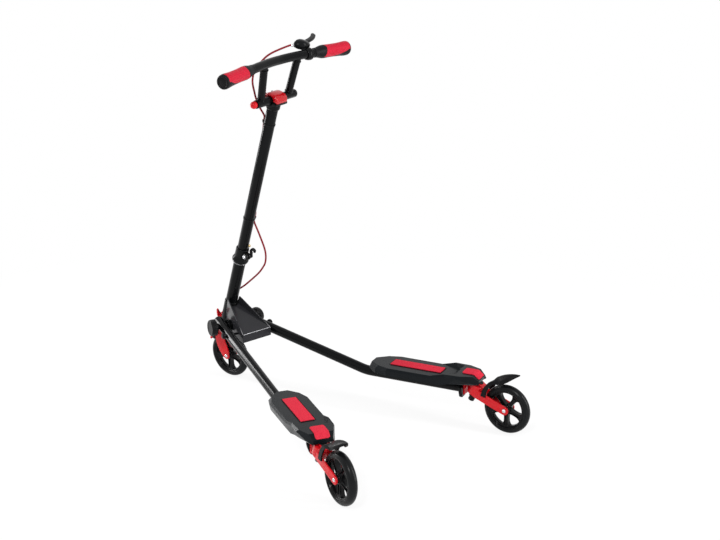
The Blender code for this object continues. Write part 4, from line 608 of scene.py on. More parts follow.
fitted("caliper_pivot_bolt", bolt, column @ at(0, 0, BRAKE_BOLT_HEIGHT) @ along_x,
       "fork_and_column", zinc, "zinc_steel", "caliper_bolt", sharp=30)

# Column: a steel steerer closed by a split collar, and a thinner tube that slides up out of it
# and clicks on a brass button; the collar is cast, machined at its lower edge, and clamped by
# a bolt and a hooked cam lever.
black_coat = finish("black_powder_coat", (0.0016, 0.0018, 0.0021), (0.0032, 0.0035, 0.0040),
                    (0.13, 0.19), (16, 260), 0.004, 0.10)
satin_black = finish("satin_black_coat", (0.0026, 0.0028, 0.0032), (0.0050, 0.0054, 0.0060),
                     (0.20, 0.30), (20, 400), 0.006, 0.10)
black_nylon = finish("matte_black_nylon", (0.0030, 0.0030, 0.0034), (0.0060, 0.0060, 0.0068),
                     (0.30, 0.42), (50, 1400), 0.06, 0.09)
brass = finish("brass", (0.62, 0.47, 0.22), (0.78, 0.62, 0.34), (0.20, 0.34), (90, 1500), 0.02,
               metallic=1.0)
machined = finish("machined_steel", (0.20, 0.20, 0.21), (0.32, 0.32, 0.33), (0.24, 0.36),
                  (120, 1800), 0.02, metallic=1.0)

steerer = turned([(0, 230), (14.6, 230), (14.6, 395), (15.9, 395), (15.9, 149.7), (0, 149.7)],
                 96, 0.4)
fitted("steerer_tube", steerer, column, "fork_and_column", black_coat, "black_paint",
       "lower_tube", sharp=35)
sleeve = turned([(16.2, 362.2), (16.2, 395.3), (14.6, 395.3), (14.6, 406), (16.6, 406),
                 (17.4, 404), (17.7, 383), (20, 377.8), (21.9, 374), (22.1, 370), (21.2, 366.2),
                 (19, 364), (18.2, 362.2)], 96, 1, closed=True)
fitted("split_collar_sleeve", sleeve, column, "fork_and_column", satin_black, "black_paint",
       "clamp_collar", sharp=35)
collar_place = column @ spun(-15, "Z")
CLAMP_BEHIND = -24
CLAMP_HEIGHT = 393
clamp_centre = (CLAMP_BEHIND, CLAMP_HEIGHT)
ear = plate([(-16, 384), (-16, 402)] + arc(clamp_centre, 9, 90, 270, 14), 5.8, 1.2,
            [hole(clamp_centre, 3.3, 12)])
rim = turned([(5.8, 0), (6.2, 1.2), (8.2, 1.2), (8.6, 0)], 64, 0.5, closed=True)
ears = joined([(ear, at(0, y, 0) @ facing_y) for y in (4, -4)]
              + [(rim, at(CLAMP_BEHIND, 6.8, CLAMP_HEIGHT) @ along_y)])
fitted("split_collar_ears", ears, collar_place, "fork_and_column", satin_black, "black_paint")
foot_ring = turned([(16.5, 362), (16.5, 363.6), (19, 363.6), (19, 362)], 96, 0.6, closed=True)
fitted("split_collar_machined_edge", foot_ring, column, "fork_and_column", machined, "zinc_steel")
clamp_screw = turned([(0, 8.2), (1.8, 8.2, 6), (1.8, 10.6, 6), (2.6, 11.5), (3.8, 11.3),
                      (4.6, 10.2), (4.6, 8), (5.6, 7.8), (5.6, 7.3), (3, 7.2), (3, -7.3),
                      (0, -7.3)], 48)
fitted("collar_clamp_screw", clamp_screw,
       collar_place @ at(CLAMP_BEHIND, 0, CLAMP_HEIGHT) @ along_y,
       "fork_and_column", zinc, "zinc_steel", "collar_bolt", sharp=30)

hook_line = [(0, 0), (0.3, 9.5), (2.6, 14.5), (0.4, 19), (-5, 19.6), (-9.2, 15), (-9.4, 8.8)]
hook = plate(ribbon(hook_line, [9, 7, 6.2, 6.2, 6.2, 6, 5], 1, 1.5), 7, 1.6)
cam = turned([(0, 4.3), (4.5, 4.3), (4.5, -4.3), (0, -4.3)], 48, 1)
pin_end = turned([(0, 4.6), (1.6, 4.6), (2, 4.3), (2, -4.3), (0, -4.6)], 24)
fitted("quick_release_hook", joined([(hook, facing_x), (cam, along_x), (pin_end, along_x)]),
       collar_place @ at(CLAMP_BEHIND, -12.2, CLAMP_HEIGHT), "quick_release_lever", black_nylon,
       "black_plastic", "quick_release_lever")

# Upper tube with the button that its height is set by; the black socket of the stem is
# pressed over its top, and its half of the clamp is the saddle under the cross tube.
CROSS_HEIGHT = 842
CROSS_BORE = 10.8
CLAMP_WIDTH = 42
cross_place = at(0, 0, CROSS_HEIGHT)
socket_low = CROSS_HEIGHT - 26.3
slide = turned([(0, 830), (14.3, 830), (14.3, 250), (12.8, 250), (12.8, 252), (0, 252)], 96, 0.4)
socket = turned([(0, 830), (17.2, 830), (17.8, 826), (17.8, socket_low + 3.5), (16, socket_low),
                 (14, socket_low)], 96, 0.8)
saddle = eased([(24.6, -0.3), (24.6, -6), (17.6, -8.5)] + arc((0, 0), 17.6, -38, -142, 14)
               + [(-17.6, -8.5), (-24.6, -6), (-24.6, -0.3)], 1.2, steps=2)
saddle = plate(saddle + arc((0, 0), CROSS_BORE, 181.6, 358.4, 20), CLAMP_WIDTH, 1.2)
upper = joined([(slide, still), (socket, still), (saddle, cross_place @ facing_y)])
fitted("sliding_column_tube", upper, column, "handlebars", black_coat, "black_paint",
       "upper_tube", sharp=35)
button = turned([(0, 19.1), (2.2, 19.1), (2.6, 17.6), (3.8, 17), (4, 16), (4, 10.6), (5.6, 10.6),
                 (5.6, 9), (0, 9)], 48, 0.3)
fitted("brass_height_stud", button, column @ at(0, 0, 415.2) @ spun(217, "Z") @ along_x,
       "height_button", brass, "brass", "height_button", sharp=30)

# Stem clamp: the red painted upper half, an arch that hooks on the saddle behind and is drawn
# down on it in front by two black socket screws.
deep_red = finish("deep_red_coat", (0.34, 0.003, 0.006), (0.42, 0.004, 0.009), (0.12, 0.20),
                  (14, 240), 0.004, 0.30, coat=0.2)
cap = eased([(-24.6, 0.3), (-24.6, 4), (-23.2, 9.5), (-19.6, 14), (-14, 17), (-7, 18.4),
             (0, 18.6), (7, 17.8), (13, 15.2), (17.2, 10.8), (20, 7.4), (23.6, 6), (24.6, 4.8),
             (24.6, 0.3)], 3)
cap = plate(cap + arc((0, 0), CROSS_BORE, 1.6, 178.4, 20), CLAMP_WIDTH, 4.5)
fitted("arched_stem_clamp", cap, column @ cross_place @ facing_y, "handlebars", deep_red,
       "red_paint", "stem_clamp", sharp=50)
screw_head = turned([(0, 0.4), (1.5, 0.4, 6), (1.5, 2.6, 6), (2.2, 3.1), (3.1, 2.9), (3.5, 2.2),
                     (3.5, -1), (0, -1)], 32)
screws = joined([(screw_head, at(20.8, y, CROSS_HEIGHT + 6)) for y in (12.5, -12.5)])
fitted("stem_clamp_screws", screws, column, "handlebars", black_nylon, "black_plastic", sharp=30)


# Handlebar: a swept top bar and a cross tube joined by two slanted risers, mitred and welded,
# then powder coated gloss black; a red ball closes one end of the cross tube, a cap the other.
def swept(points, radius, sides):
    """A round bar along points, with flat ends."""
    curve = bpy.data.curves.new("bar", "CURVE")
    curve.dimensions = "3D"
    curve.bevel_depth = radius * MM
    curve.bevel_resolution = sides // 4
    curve.use_fill_caps = True
    return drawn(curve, [points], False)


def pointed(start, end):
    """The place whose Z runs from one point towards another."""
    turn = Vector((0, 0, 1)).rotation_difference(Vector(end) - Vector(start))
    return at(*start) @ turn.to_matrix().to_4x4()


BAR_END = Vector((-17, 232, 943))
bar_half = [(9.5, 25, 942.5), (5, 62, 944), (-2.4, 113, 945)]
grip_start = Vector(bar_half[-1])
grip_way = (BAR_END - grip_start).normalized()
bar_half = [(11, 0, 941.5)] + bar_half + [tuple(BAR_END - grip_way * 5)]
bar_line = rounded([(x, -y, z) for x, y, z in bar_half[:0:-1]] + bar_half, 6)
cross = turned([(0, 70), (10.5, 70), (10.5, -70), (0, -70)], 64, 0.3)
weld = turned([(9.3, -1.6), (11.2, -1.2), (10.6, 1.2), (9.3, 2.2)], 48, 0.6, closed=True)
parts = [(swept(bar_line, 11.1, 32), still), (cross, cross_place @ along_y)]
for side in (1, -1):
    foot = Vector((0.5, side * 50.5, CROSS_HEIGHT))
    head = Vector((4, side * 62, 942))
    way = (head - foot).normalized()
    parts += [(swept([foot, head], 9.5, 32), still), (weld, pointed(foot + way * 10.4, head)),
              (weld, pointed(head - way * 11.2, foot))]
fitted("welded_handlebar", joined(parts), column, "handlebars", black_coat, "black_paint",
       "handlebar")
ball = turned([(0, 85.8)] + arc((0, 76.5), 9.3, 84, -42, 18) + [(0, 70.3)], 64)
fitted("red_end_ball", ball, column @ cross_place @ along_y, "handlebars", gloss_red, "red_paint",
       "cross_tube_cap_left", sharp=60)
dome = turned([(0, 79.3), (6, 78.9), (10.4, 74.5), (10.5, 70.3), (0, 70.3)], 64, 2)
fitted("black_end_cap", dome, column @ cross_place @ spun(180, "Z") @ along_y, "handlebars",
       black_nylon, "black_plastic", "cross_tube_cap_right", sharp=60)

# Grips: one soft moulding each, black at the collar, along the underside and at the end, with
# a red upper shell that widens to a palm swell and is covered in small dimples, their middles
# painted a darker red as painted shade. The grip_map attribute unrolls it in metres; the rubber
# is red where the third part is above nought.
grip_rubber = finish("grip_rubber", (0.0034, 0.0034, 0.0040), (0.0070, 0.0070, 0.0080),
                     (0.36, 0.48), (60, 1600), 0.04, 0.09)
rubber = grip_rubber.node_tree
base = rubber.nodes["Principled BSDF"].inputs["Base Color"]
here = node(rubber, "ShaderNodeAttribute", attribute_name="grip_map")["Vector"]
split = node(rubber, "ShaderNodeSeparateXYZ", {0: here})
edge = node(rubber, "ShaderNodeMapRange",
            {"Value": split["Z"], "From Min": -0.0002, "From Max": 0.0002})[0]
flat = node(rubber, "ShaderNodeCombineXYZ", {"X": split["X"], "Y": split["Y"]})[0]
dots = node(rubber, "ShaderNodeTexVoronoi",
            {"Vector": flat, "Scale": 260.0, "Randomness": 0.15})["Distance"]
dent = node(rubber, "ShaderNodeMapRange", {"Value": dots, "From Min": 0.12, "From Max": 0.30},
            interpolation_type="SMOOTHSTEP")[0]
# Painted shade: the red is darker in the middle of each dimple, where the same mask also presses
# the rubber in
red = mixed(rubber, dent, (0.36, 0.007, 0.022), (0.46, 0.011, 0.030))
rubber.links.new(mixed(rubber, edge, base.links[0].from_socket, red), base)
press = node(rubber, "ShaderNodeMath", {0: dent, 1: edge}, operation="MULTIPLY")[0]
deep = node(rubber, "ShaderNodeBump", {"Height": press, "Distance": 0.00015})[0]
rubber.links.new(deep, rubber.nodes["relief"].inputs["Normal"])

# Along the grip: the distance, the radius, and how much taller than wide it is; then the
# recess in its end
grip_form = [(0, 11.6, 0), (0.8, 12, 0), (6, 12.2, 0), (12, 13, 0), (24, 15.8, 0), (31, 16.6, 0.2),
             (35, 16.8, 0.4), (48, 16.5, 0.6), (64, 16.5, 1), (78, 16.8, 1.2), (92, 17.4, 1.4),
             (101, 18.2, 1.4), (109, 18.4, 1), (114.5, 17.8, 0.6), (117.8, 16.2, 0.3),
             (119, 13.4, 0)]
grip_recess = [(118.6, 12, 0), (117.6, 11.4, 0), (117.2, 10.4, 0), (118.3, 8, 0), (118.6, 4, 0)]
GRIP_SIDES = 72
ARC_WIDTH = 16
SIDES = (("left", 1), ("right", -1))
for word, side in SIDES:
    start = Vector((grip_start.x, side * grip_start.y, grip_start.z))
    way = Vector((grip_way.x, side * grip_way.y, grip_way.z))
    up = Vector((-0.45, 0, 0.89))
    up = (up - way * way.dot(up)).normalized()
    across = way.cross(up)
    rings = []
    marks = []
    for along, radius, bulge in rounded(grip_form, 1.6) + grip_recess:
        ring = []
        for i in range(GRIP_SIDES):
            angle = math.tau * i / GRIP_SIDES
            reach = radius + bulge * math.cos(2 * angle)
            ring.append(start + way * along
                        + (up * math.cos(angle) + across * math.sin(angle)) * reach)
            turn = math.atan2(math.sin(angle), math.cos(angle))
            # The border runs S-shaped from the collar round to the underside and up at the end
            share = min(1, max(0, (along - 28) / 80))
            low_edge = 1.95 - 0.25 * math.cos(share * math.pi * 1.2) - 2.2 * max(0, share - 0.36)
            border = min((low_edge - abs(turn)) * ARC_WIDTH, along - 35.5 + 4 * abs(turn),
                         113.5 - along)
            marks.append((along, turn * ARC_WIDTH, border))
        rings.append(ring)
    grip = loft(rings)
    grip_map = grip.attributes.new("grip_map", "FLOAT_VECTOR", "POINT")
    grip_map.data.foreach_set("vector", [value for mark in metres(marks) for value in mark])
    fitted("soft_grip_" + word, grip, column, "handlebars", grip_rubber, "grip_rubber",
           "grip_" + word, sharp=60)

# Brake lever: a cast housing clamped on the bar, a two-finger blade with a curled end on a pin
# through it, and the knurled barrel that the cable leaves through.
brake_place = Vector((-0.4, -94, 944.6))
band = turned([(12.1, 8), (14.8, 8), (15.5, 6), (15.3, -1), (13.4, -7), (12.1, -8)], 64, 1.4,
              closed=True)


def egg(x, y, half_x, half_y):
    """A rounded ring of (x, y) pairs from its middle and half sizes."""
    ring = []
    for i in range(28):
        c, s = math.cos(math.tau * i / 28), math.sin(math.tau * i / 28)
        ring.append((x + half_x * math.copysign(abs(c) ** 0.8, c),
                     y + half_y * math.copysign(abs(s) ** 0.8, s)))
    return ring


housing = loft([[(x, y, z) for x, z in egg(*middle, *half)] for y, middle, half in (
    (-71.2, (27.5, 959.6), (3, 3)), (-72.2, (27.2, 959.8), (5.8, 5)),
    (-75, (26.2, 960.2), (8.6, 7.6)), (-79, (25, 960.6), (11.6, 9.8)),
    (-85, (23.6, 961), (14.6, 11.6)), (-92, (22.8, 960.8), (16, 12)),
    (-100, (22.6, 959.8), (15.8, 11.2)), (-108, (23.2, 958.4), (14.2, 9.6)),
    (-115, (24.4, 957.2), (11.4, 7.4)), (-120.4, (25.6, 956.4), (7.8, 5)),
    (-122.6, (26.2, 956), (4, 2.8)))])
neck = loft([[(x, y, z) for x, y in egg(ahead, -96, *half)] for z, ahead, half in (
    (945, 1, (12.2, 13)), (949, 4, (13.4, 13.4)), (952, 8.5, (13.4, 13.6)),
    (955, 14, (12.4, 13.6)), (958, 19, (11, 13.2)), (960, 21.5, (9.4, 12)))])
perch = joined([(band, pointed(brake_place, brake_place + Vector((-7.4, -51, 1)))),
                (housing, still), (neck, still)])
fitted("brake_perch", perch, column, "handlebars", satin_black, "black_plastic", "brake_bracket",
       sharp=60)
finger = [(0, 0), (0.6, -14), (2, -28), (4.4, -43), (7.6, -57), (11.6, -69), (16.5, -79),
          (21.2, -86), (23.2, -89)]
finger = plate(ribbon(finger, [13, 12.4, 11.8, 11.6, 11.8, 12.2, 12.8, 12.6, 10], 2, 2), 7.8, 2.4)
curl = turned([(0, 4), (4.2, 3.6), (5.8, 0), (4.2, -3.6), (0, -4)], 32, 2)
fitted("brake_lever_blade", joined([(finger, still), (curl, at(24, -88, 0))]),
       column @ at(32, -88, 956.5), "brake_lever", satin_black, "black_paint", "brake_lever")
barrel = turned([(0, 12), (2.2, 12), (2.6, 9), (3.4, 8.6), (3.4, 2), (2.7, 1.4), (2.6, 0), (0, 0)],
                32, 0.3)
fitted("barrel_adjuster_screw", barrel, column @ at(30, -71.7, 959.5) @ along_y, "handlebars",
       zinc, "zinc_steel", "barrel_adjuster", sharp=30)

# Brake cable: a wire in a dark red plastic jacket, held by two moulded clips on the sliding
# tube; the loop below the lower clip takes up the height adjustment.
cable_jacket = finish("red_cable_jacket", (0.16, 0.004, 0.010), (0.22, 0.006, 0.014),
                      (0.30, 0.42), (60, 400), 0.004, 0.12)

# A round tube along the edges of a mesh
path_tube, asked, given = node_group(
    "path_tube", "GeometryNodeTree",
    {"Path": "Geometry", "Radius": "Float", "Step": "Float", "Finish": "Material"},
    {"Tube": "Geometry"})
line = node(path_tube, "GeometryNodeMeshToCurve", {"Mesh": asked["Path"]})[0]
line = node(path_tube, "GeometryNodeResampleCurve", {"Curve": line, "Length": asked["Step"]},
            mode="LENGTH")[0]
ring = node(path_tube, "GeometryNodeCurvePrimitiveCircle",
            {"Resolution": 16, "Radius": asked["Radius"]})["Curve"]
tube = node(path_tube, "GeometryNodeCurveToMesh",
            {"Curve": line, "Profile Curve": ring, "Fill Caps": True})[0]
give_out(path_tube, tube, asked["Finish"], given["Tube"])

CABLE_RADIUS = 2.4
CABLE_STEP = 3
upper_route = metres([
    (30, -59, 962), (31.8, -39, 959), (33, -3.5, 953.5), (31, 23.5, 948.5), (28, 43, 941),
    (25, 60, 932), (22, 73, 920), (20, 76.5, 906), (20, 72.5, 890), (19.6, 62, 869),
    (20, 46, 842), (20, 24, 813), (18.9, 4, 790), (18.8, 0, 780), (18.7, -1, 768),
    (18.2, -5, 742), (17.2, -8, 685), (15.8, -10.2, 630), (12.3, -14.2, 580), (6, -17.8, 535),
    (-2.5, -18.6, 510), (-2.9, -18.6, 501), (-2.9, -18.6, 492)])
lower_route = metres([
    (-2.9, -18.6, 491.7), (-2.9, -18.6, 486), (-6, -20.2, 478), (-13, -24.5, 465),
    (-24, -32, 442.5), (-38, -41, 413), (-46, -44, 392), (-50, -43, 372), (-47, -41, 355),
    (-40, -37, 334), (-21, -31, 298.5), (-10, -28, 280), (0, -25, 266), (11, -21.5, 252),
    (19.5, -18.5, 238), (24, -16.5, 224), (25, -15.5, 210)])


def jacketed(route):
    """The tube of one stretch of the cable, in its place."""
    line = rounded(route, CABLE_STEP * MM)
    path = bpy.data.meshes.new("route")
    path.from_pydata(line, [(i, i + 1) for i in range(len(line) - 1)], [])
    mesh = cleaned(grown(path, path_tube, {"Radius": CABLE_RADIUS * MM, "Step": CABLE_STEP * MM,
                                           "Finish": cable_jacket}))
    mesh.transform(column)
    return mesh


fitted("brake_cable_on_bars", jacketed(upper_route), still, "handlebars", cable_jacket,
       "cable_jacket", "brake_cable_upper", sharp=60)
loop = bpy.data.objects.new("brake_cable_loop", jacketed(lower_route))
loop.data.shade_smooth()
bpy.context.scene.collection.objects.link(loop)
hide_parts("brake_cable_lower")
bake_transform(loop)

for word, height, angle in (("upper", 773, 0), ("lower", 497, -99)):
    bore = 14.6
    reach = 18.8
    eye = 2.7
    tangent = math.degrees(math.acos((bore - eye) / reach))
    outline = (arc((0, 0), bore + 0.9, tangent, 360 - tangent, 40)
               + arc((reach, 0), eye + 1.3, -tangent, tangent, 14))
    clip = plate(outline, 4.6, 0.4, [hole((0, 0), bore, 45), hole((reach, 0), eye, 18)])
    fitted("cable_clip_band_" + word, clip, column @ at(0, 0, height) @ spun(angle, "Z"),
           "handlebars", black_nylon, "black_plastic", "cable_clip_" + word)

# Body: four plates folded and welded round the head tube, with a lid sunk between the side
# plates so that their edges stand proud; gloss black. Pale lines laid along the top edges of
# the side plates and the rear edge of the lid are painted highlights.
body_coat = finish("body_powder_coat", (0.013, 0.013, 0.015), (0.021, 0.021, 0.024),
                   (0.14, 0.22), (16, 260), 0.004, 0.16)
# Painted highlight: a pale metallic finish that stands in for the lamps' reflection on the body's
# rounded edges
edge_highlight_paint = finish("painted_edge_highlight", (0.15, 0.15, 0.16), (0.34, 0.34, 0.35), (0.24, 0.36),
                (60, 900), 0.01, metallic=0.7)
BODY_AHEAD = 380.728
body_place = at(BODY_AHEAD, 0, 0)
SPLAY = 15.6
BODY_REAR = -127
LID_START = BODY_REAR + 1.2


def body_half(x, inset=0):
    """Half the body's width at a place along it."""
    splay = math.radians(SPLAY)
    return 47.6 - (x - BODY_REAR) * math.tan(splay) - inset / math.cos(splay)


def across_body(x, top, thickness):
    """The cross-section of a plate between the sides, at a place along them."""
    half = body_half(x, 2.6)
    return [(x, half, top), (x, -half, top), (x, -half, top - thickness),
            (x, half, top - thickness)]


parts = []
side_line = [(0, 141), (1.6, 164), (100.7, 234), (140, 141)]
for side in (1, -1):
    sheet = plate(side_line, 3, 0.8, ease=2.5)
    parts.append((sheet, at(BODY_REAR, side * body_half(BODY_REAR), 0)
                  @ spun(-side * SPLAY, "Z") @ at(0, -side * 1.5, 0) @ facing_y))
lid_slope = math.tan(math.radians(26.6))
lid = loft([across_body(x, 164 + (x - BODY_REAR) * lid_slope, 3) for x in (LID_START, -25)])
corners = [(BODY_REAR + 0.5, body_half(BODY_REAR, 2.8)),
           (BODY_REAR + 3.5, body_half(BODY_REAR + 3.5, 2.8))]
rear = loft([[(x, y, z) for x, y in doubled(corners)] for z in (141.2, 163.2)])
bottom = loft([across_body(x, 144.2, 2.8) for x in (LID_START, 6)])
body = joined(parts + [(lid, still), (rear, still), (bottom, still)])
fitted("folded_body", body, body_place, "frame", body_coat, "black_paint", "body_shell",
       soften=0.6)
# Painted highlights: thin pale rods along the side plates' top edges and across the rear edge of
# the lid
edges = []
for side in (1, -1):
    ends = [(BODY_REAR + x, side * (body_half(BODY_REAR + x) - 1.2), z)
            for x, z in ((2.2, 164), (97.5, 231.6))]
    edges.append((swept(ends, 1, 8), still))
corner = body_half(BODY_REAR) - 3
edges.append((swept([(BODY_REAR + 0.8, y, 163.6) for y in (corner, -corner)], 1, 8), still))
fitted("folded_body_painted_highlight_lines", joined(edges), body_place, "frame", edge_highlight_paint, "black_paint")

tube = turned([(18, 231.5), (16.2, 231.5), (16.2, 156), (18, 156)], 96, 0.5, closed=True)
fitted("head_tube_shell", tube, straight, "frame", black_coat, "black_paint", "head_tube")
for word, low in (("lower", 149.7), ("upper", 231.8)):
    cup = turned([(16.2, low), (16.2, low + 6), (17.2, low + 6), (18, low + 4.4), (18, low + 1.2),
                  (17.6, low)], 96, 0.5, closed=True)
    fitted("headset_cup_" + word, cup, straight, "frame", satin_black, "black_paint",
           "headset_" + word)

# Arms: bent steel tubes with a plug in the nose and a stop block welded under the rear end;
# each pivots on a bolt through the body and is clamped by a ribbed knob and a sprung pin.
PIVOT_AHEAD = 342.228
PIVOT_OFFSET = 46.9
PIVOT_HEIGHT = 165.5
NOSE_AHEAD = 31.7
PIN_BEHIND = 51.4
BEND_BEHIND = 369.8
BEND_HEIGHT = 92.5
BEND_RADIUS = 150
DECK_TURN = 21.5


def arm_end(side, degrees):
    """The place of an arm's rear end on the ground, turned outwards by so much."""
    return at(-296.843, side * 257.781, 0) @ spun(-side * degrees, "Z")


for word, side in SIDES:
    pivot = at(PIVOT_AHEAD, side * PIVOT_OFFSET, PIVOT_HEIGHT) @ spun(-side * SPLAY, "Z")
    deck = arm_end(side, DECK_TURN)
    slope = math.atan2(PIVOT_HEIGHT - BEND_HEIGHT, BEND_BEHIND)
    nose = Vector((NOSE_AHEAD, 0, NOSE_AHEAD * math.tan(slope)))
    bend = Vector((-BEND_BEHIND, 0, -BEND_BEHIND * math.tan(slope)))
    end = pivot.inverted() @ deck @ (Vector((36.3, 0, BEND_HEIGHT)) * MM) / MM
    back = (nose - bend).normalized()
    ahead = (end - bend).normalized()
    half = back.angle(ahead) / 2
    reach = BEND_RADIUS / math.tan(half)
    middle = bend + (back + ahead).normalized() * BEND_RADIUS / math.sin(half)
    first = bend + back * reach - middle
    last = bend + ahead * reach - middle
    bent = [middle + Matrix.Rotation(first.angle(last) * i / 16, 3, first.cross(last)) @ first
            for i in range(17)]
    plug = turned([(0, 2.2), (9.6, 1.6), (11.2, 0.4), (11.2, -2), (0, -2)], 48, 0.8)
    fitted(word + "_arm_plug", plug, pivot @ pointed(nose, nose * 2) @ at(0, 0, -1.9),
           word + "_arm", black_nylon, "black_plastic")
    stop = plate([(-24, 100), (24, 100), (21.5, 88), (16, 73.5), (11, 69), (-11, 69),
                  (-16, 73.5), (-21.5, 88)], 7.7, 1.4, ease=3)
    arm = joined([(swept([nose] + bent + [end], 12.7, 40), pivot),
                  (stop, deck @ at(37.5, 0, 0) @ facing_x)])
    fitted(word + "_arm_tube", arm, still, word + "_arm", black_coat, "black_paint",
           word + "_arm")

    outwards = Matrix.Diagonal((1, side, 1, 1)) @ along_y
    wall = body_half(PIVOT_AHEAD - BODY_AHEAD)
    plate_face = (PIVOT_OFFSET - wall) * math.cos(math.radians(SPLAY))
    bolt = turned([(0, 30), (5, 30), (5, -13), (15, -13), (15, 0.3 - plate_face),
                   (5, 0.3 - plate_face), (5, -plate_face - 3.3), (9.5, -plate_face - 3.3),
                   (9.5, -plate_face - 8.3), (0, -plate_face - 8.3)], 48, 0.5)
    fitted(word + "_pivot_pin", bolt, pivot @ outwards, "frame", black_coat, "black_paint",
           word + "_pivot_bolt")

    face = turned([(0, 35.4), (15, 35.4), (16, 36), (20, 36), (22, 34), (22, 21.5), (16.5, 17.2),
                   (10, 17), (10, 13.3), (5.3, 13.3), (5.3, 30.5), (0, 30.5)], 96, 0.8)
    rib = plate([(20.5, -1.8), (22.2, -1.6), (22.5, 0), (22.2, 1.6), (20.5, 1.8)], 11, 0.5,
                ease=0.6)
    rib.transform(at(0, 0, 25.6))
    ribs = grown(rib, ring_of_copies, {"Count": 22, "First angle": 0.0, "Finish": black_nylon})
    fitted(word + "_ribbed_knob", joined([(face, still), (ribs, still)]), pivot @ outwards,
           word + "_clamp_knob", black_nylon, "black_plastic", word + "_clamp_knob")

    pin = turned([(0, 22.5), (6, 22.5), (8, 21), (8.5, 19), (7.8, 13.5), (6, 13), (3, 13),
                  (3, 0.3 - plate_face), (0, 0.3 - plate_face)], 48, 0.6)
    fitted(word + "_locking_pin_knob", pin,
           pivot @ at(-PIN_BEHIND, 0, 3 - PIN_BEHIND * math.tan(slope)) @ outwards,
           word + "_locking_pin", black_nylon, "black_plastic", word + "_locking_pin")

# Platforms: moulded in one piece, chamfered all round, with a raised heel rest behind and a
# groove round the front pad; the pads are gritty red sheet, glued on.
deck_plastic = finish("blue_grey_moulding", (0.0034, 0.0048, 0.0060), (0.0054, 0.0072, 0.0088),
                      (0.20, 0.30), (25, 600), 0.01, 0.08)
# Grit under a clear binder: pale and dark specks on red, rough to the touch
grit = finish("red_grit_sheet", (0.43, 0.011, 0.028), (0.53, 0.018, 0.040), (0.75, 0.9),
              (60, 1500), 0.25, 0.08)
sheet = grit.node_tree
base = sheet.nodes["Principled BSDF"].inputs["Base Color"]
where = node(sheet, "ShaderNodeTexCoord")["Object"]
specks = node(sheet, "ShaderNodeTexVoronoi", {"Vector": where, "Scale": 900.0})["Distance"]
pick = node(sheet, "ShaderNodeMapRange",
            {"Value": specks, "From Min": 0.15, "From Max": 0.6})[0]
sheet.links.new(mixed(sheet, pick, (0.78, 0.05, 0.08), base.links[0].from_socket), base)

# Half the platform's rings, front to back: its lower edge, the crease along its side, the edge
# of its top, and a line nearer the middle that the ramp to the heel starts and ends on
DECK_RINGS = [
    ((285, 21, 108), (285.5, 24.5, 113), (282.5, 14, 126.2), (282.5, 6, 126.2)),
    ((262.5, 39.5, 105.5), (262, 41.2, 116.5), (256, 35, 126.8), (256, 15, 126.8)),
    ((229, 46, 105.5), (229, 49.2, 120.5), (225, 45, 126.8), (225, 30, 126.8)),
    ((120, 45, 105.5), (120, 48.5, 121.5), (120, 44.5, 126.8), (85, 30, 126.8)),
    ((86, 44, 105.5), (108, 48, 122), (110, 44.2, 126.8), (60, 30, 127)),
    ((64, 42, 111), (70, 47.8, 131.2), (73.5, 44, 136.8), (46, 32, 137.2)),
    ((42, 38.5, 112.5), (40, 46.2, 130), (33, 42, 137.2), (33, 24, 137.2)),
    ((4, 28, 113.5), (6, 34, 119), (2, 30, 137), (2, 19, 137)),
    ((-12, 23, 114), (-15, 26.2, 116.5), (-12.8, 23, 125.2), (-12.8, 18.5, 125.2))]
CASTER_LEAN = 25
CASTER_HEIGHT = 97


def beside_kingpin(along, above):
    """A place by the leaning caster head: along its top, and above its middle."""
    spot = spun(-CASTER_LEAN, "Y") @ Vector((along, 0, above))
    return (spot.x, spot.z + CASTER_HEIGHT)


def cut(mesh, tool_mesh, place):
    """One mesh with another taken out of it."""
    tool_mesh.transform(place)
    tool = bpy.data.objects.new("tool", tool_mesh)
    bpy.context.scene.collection.objects.link(tool)
    piece = bpy.data.objects.new("cut", mesh)
    modifier = piece.modifiers.new("cut", "BOOLEAN")
    modifier.operation = "DIFFERENCE"
    modifier.object = tool
    made = evaluated(piece)
    bpy.data.objects.remove(tool)
    return made


for word, side in SIDES:
    deck = arm_end(side, DECK_TURN)
    board = loft([[*half, *[(x, -y, z) for x, y, z in half[::-1]]] for half in DECK_RINGS],
                 merge=1.5)
    for low, high in ((17, 42), (-42, -17)):
        board = cut(board, plate(oblong(75, low, 225, high), 40, 1), at(0, 0, 102.3))
    groove_in = eased(oblong(91, -18, 230.3, 18), 2, closed=True)
    groove = plate(oblong(89, -20.2, 232.5, 20.2), 4, 0.2, [groove_in], ease=3)
    board = cut(board, groove, at(0, 0, 127.8))
    rear = beside_kingpin(-42, 23.3)
    front = beside_kingpin(26, 22.3)
    room = plate([(rear[0], 85.5), rear, front, (39, front[1]), (39, 85.5)], 46, 0.3)
    board = cut(board, room, facing_y)
    fitted(word + "_moulded_platform", board, deck, word + "_arm", deck_plastic, "deck_plastic",
           word + "_platform", soften=0.8, sharp=9)

    pad = plate(oblong(92, -17.2, 229, 17.2), 2.4, 0.7, ease=1.4)
    fitted(word + "_front_grit_pad", pad, deck @ at(0, 0, 128.3), word + "_arm", grit,
           "grip_tape", word + "_front_pad")
    fold = rounded([(34, 137.5), (18, 137.5), (5.2, 137.4), (1, 136.4), (-2, 133.6),
                    (-11.5, 126.8)], 1.5)
    rings = []
    for i, (x, z) in enumerate(fold):
        normal = -square_to(fold, i)
        near_end = min(i, len(fold) - 1 - i)
        half = 17.4 - (3.4, 1.4, 0.4, 0)[min(near_end, 3)]
        top = Vector((x, z)) + normal * 2.1
        shoulder = Vector((x, z)) + normal * 1.4
        section = [(half, x, z), (half, *shoulder), (half - 0.7, *top)]
        rings.append([(x, y, z) for y, x, z in section]
                     + [(x, -y, z) for y, x, z in section[::-1]])
    fitted(word + "_heel_grit_pad", loft(rings), deck, word + "_arm", grit, "grip_tape",
           word + "_rear_pad")

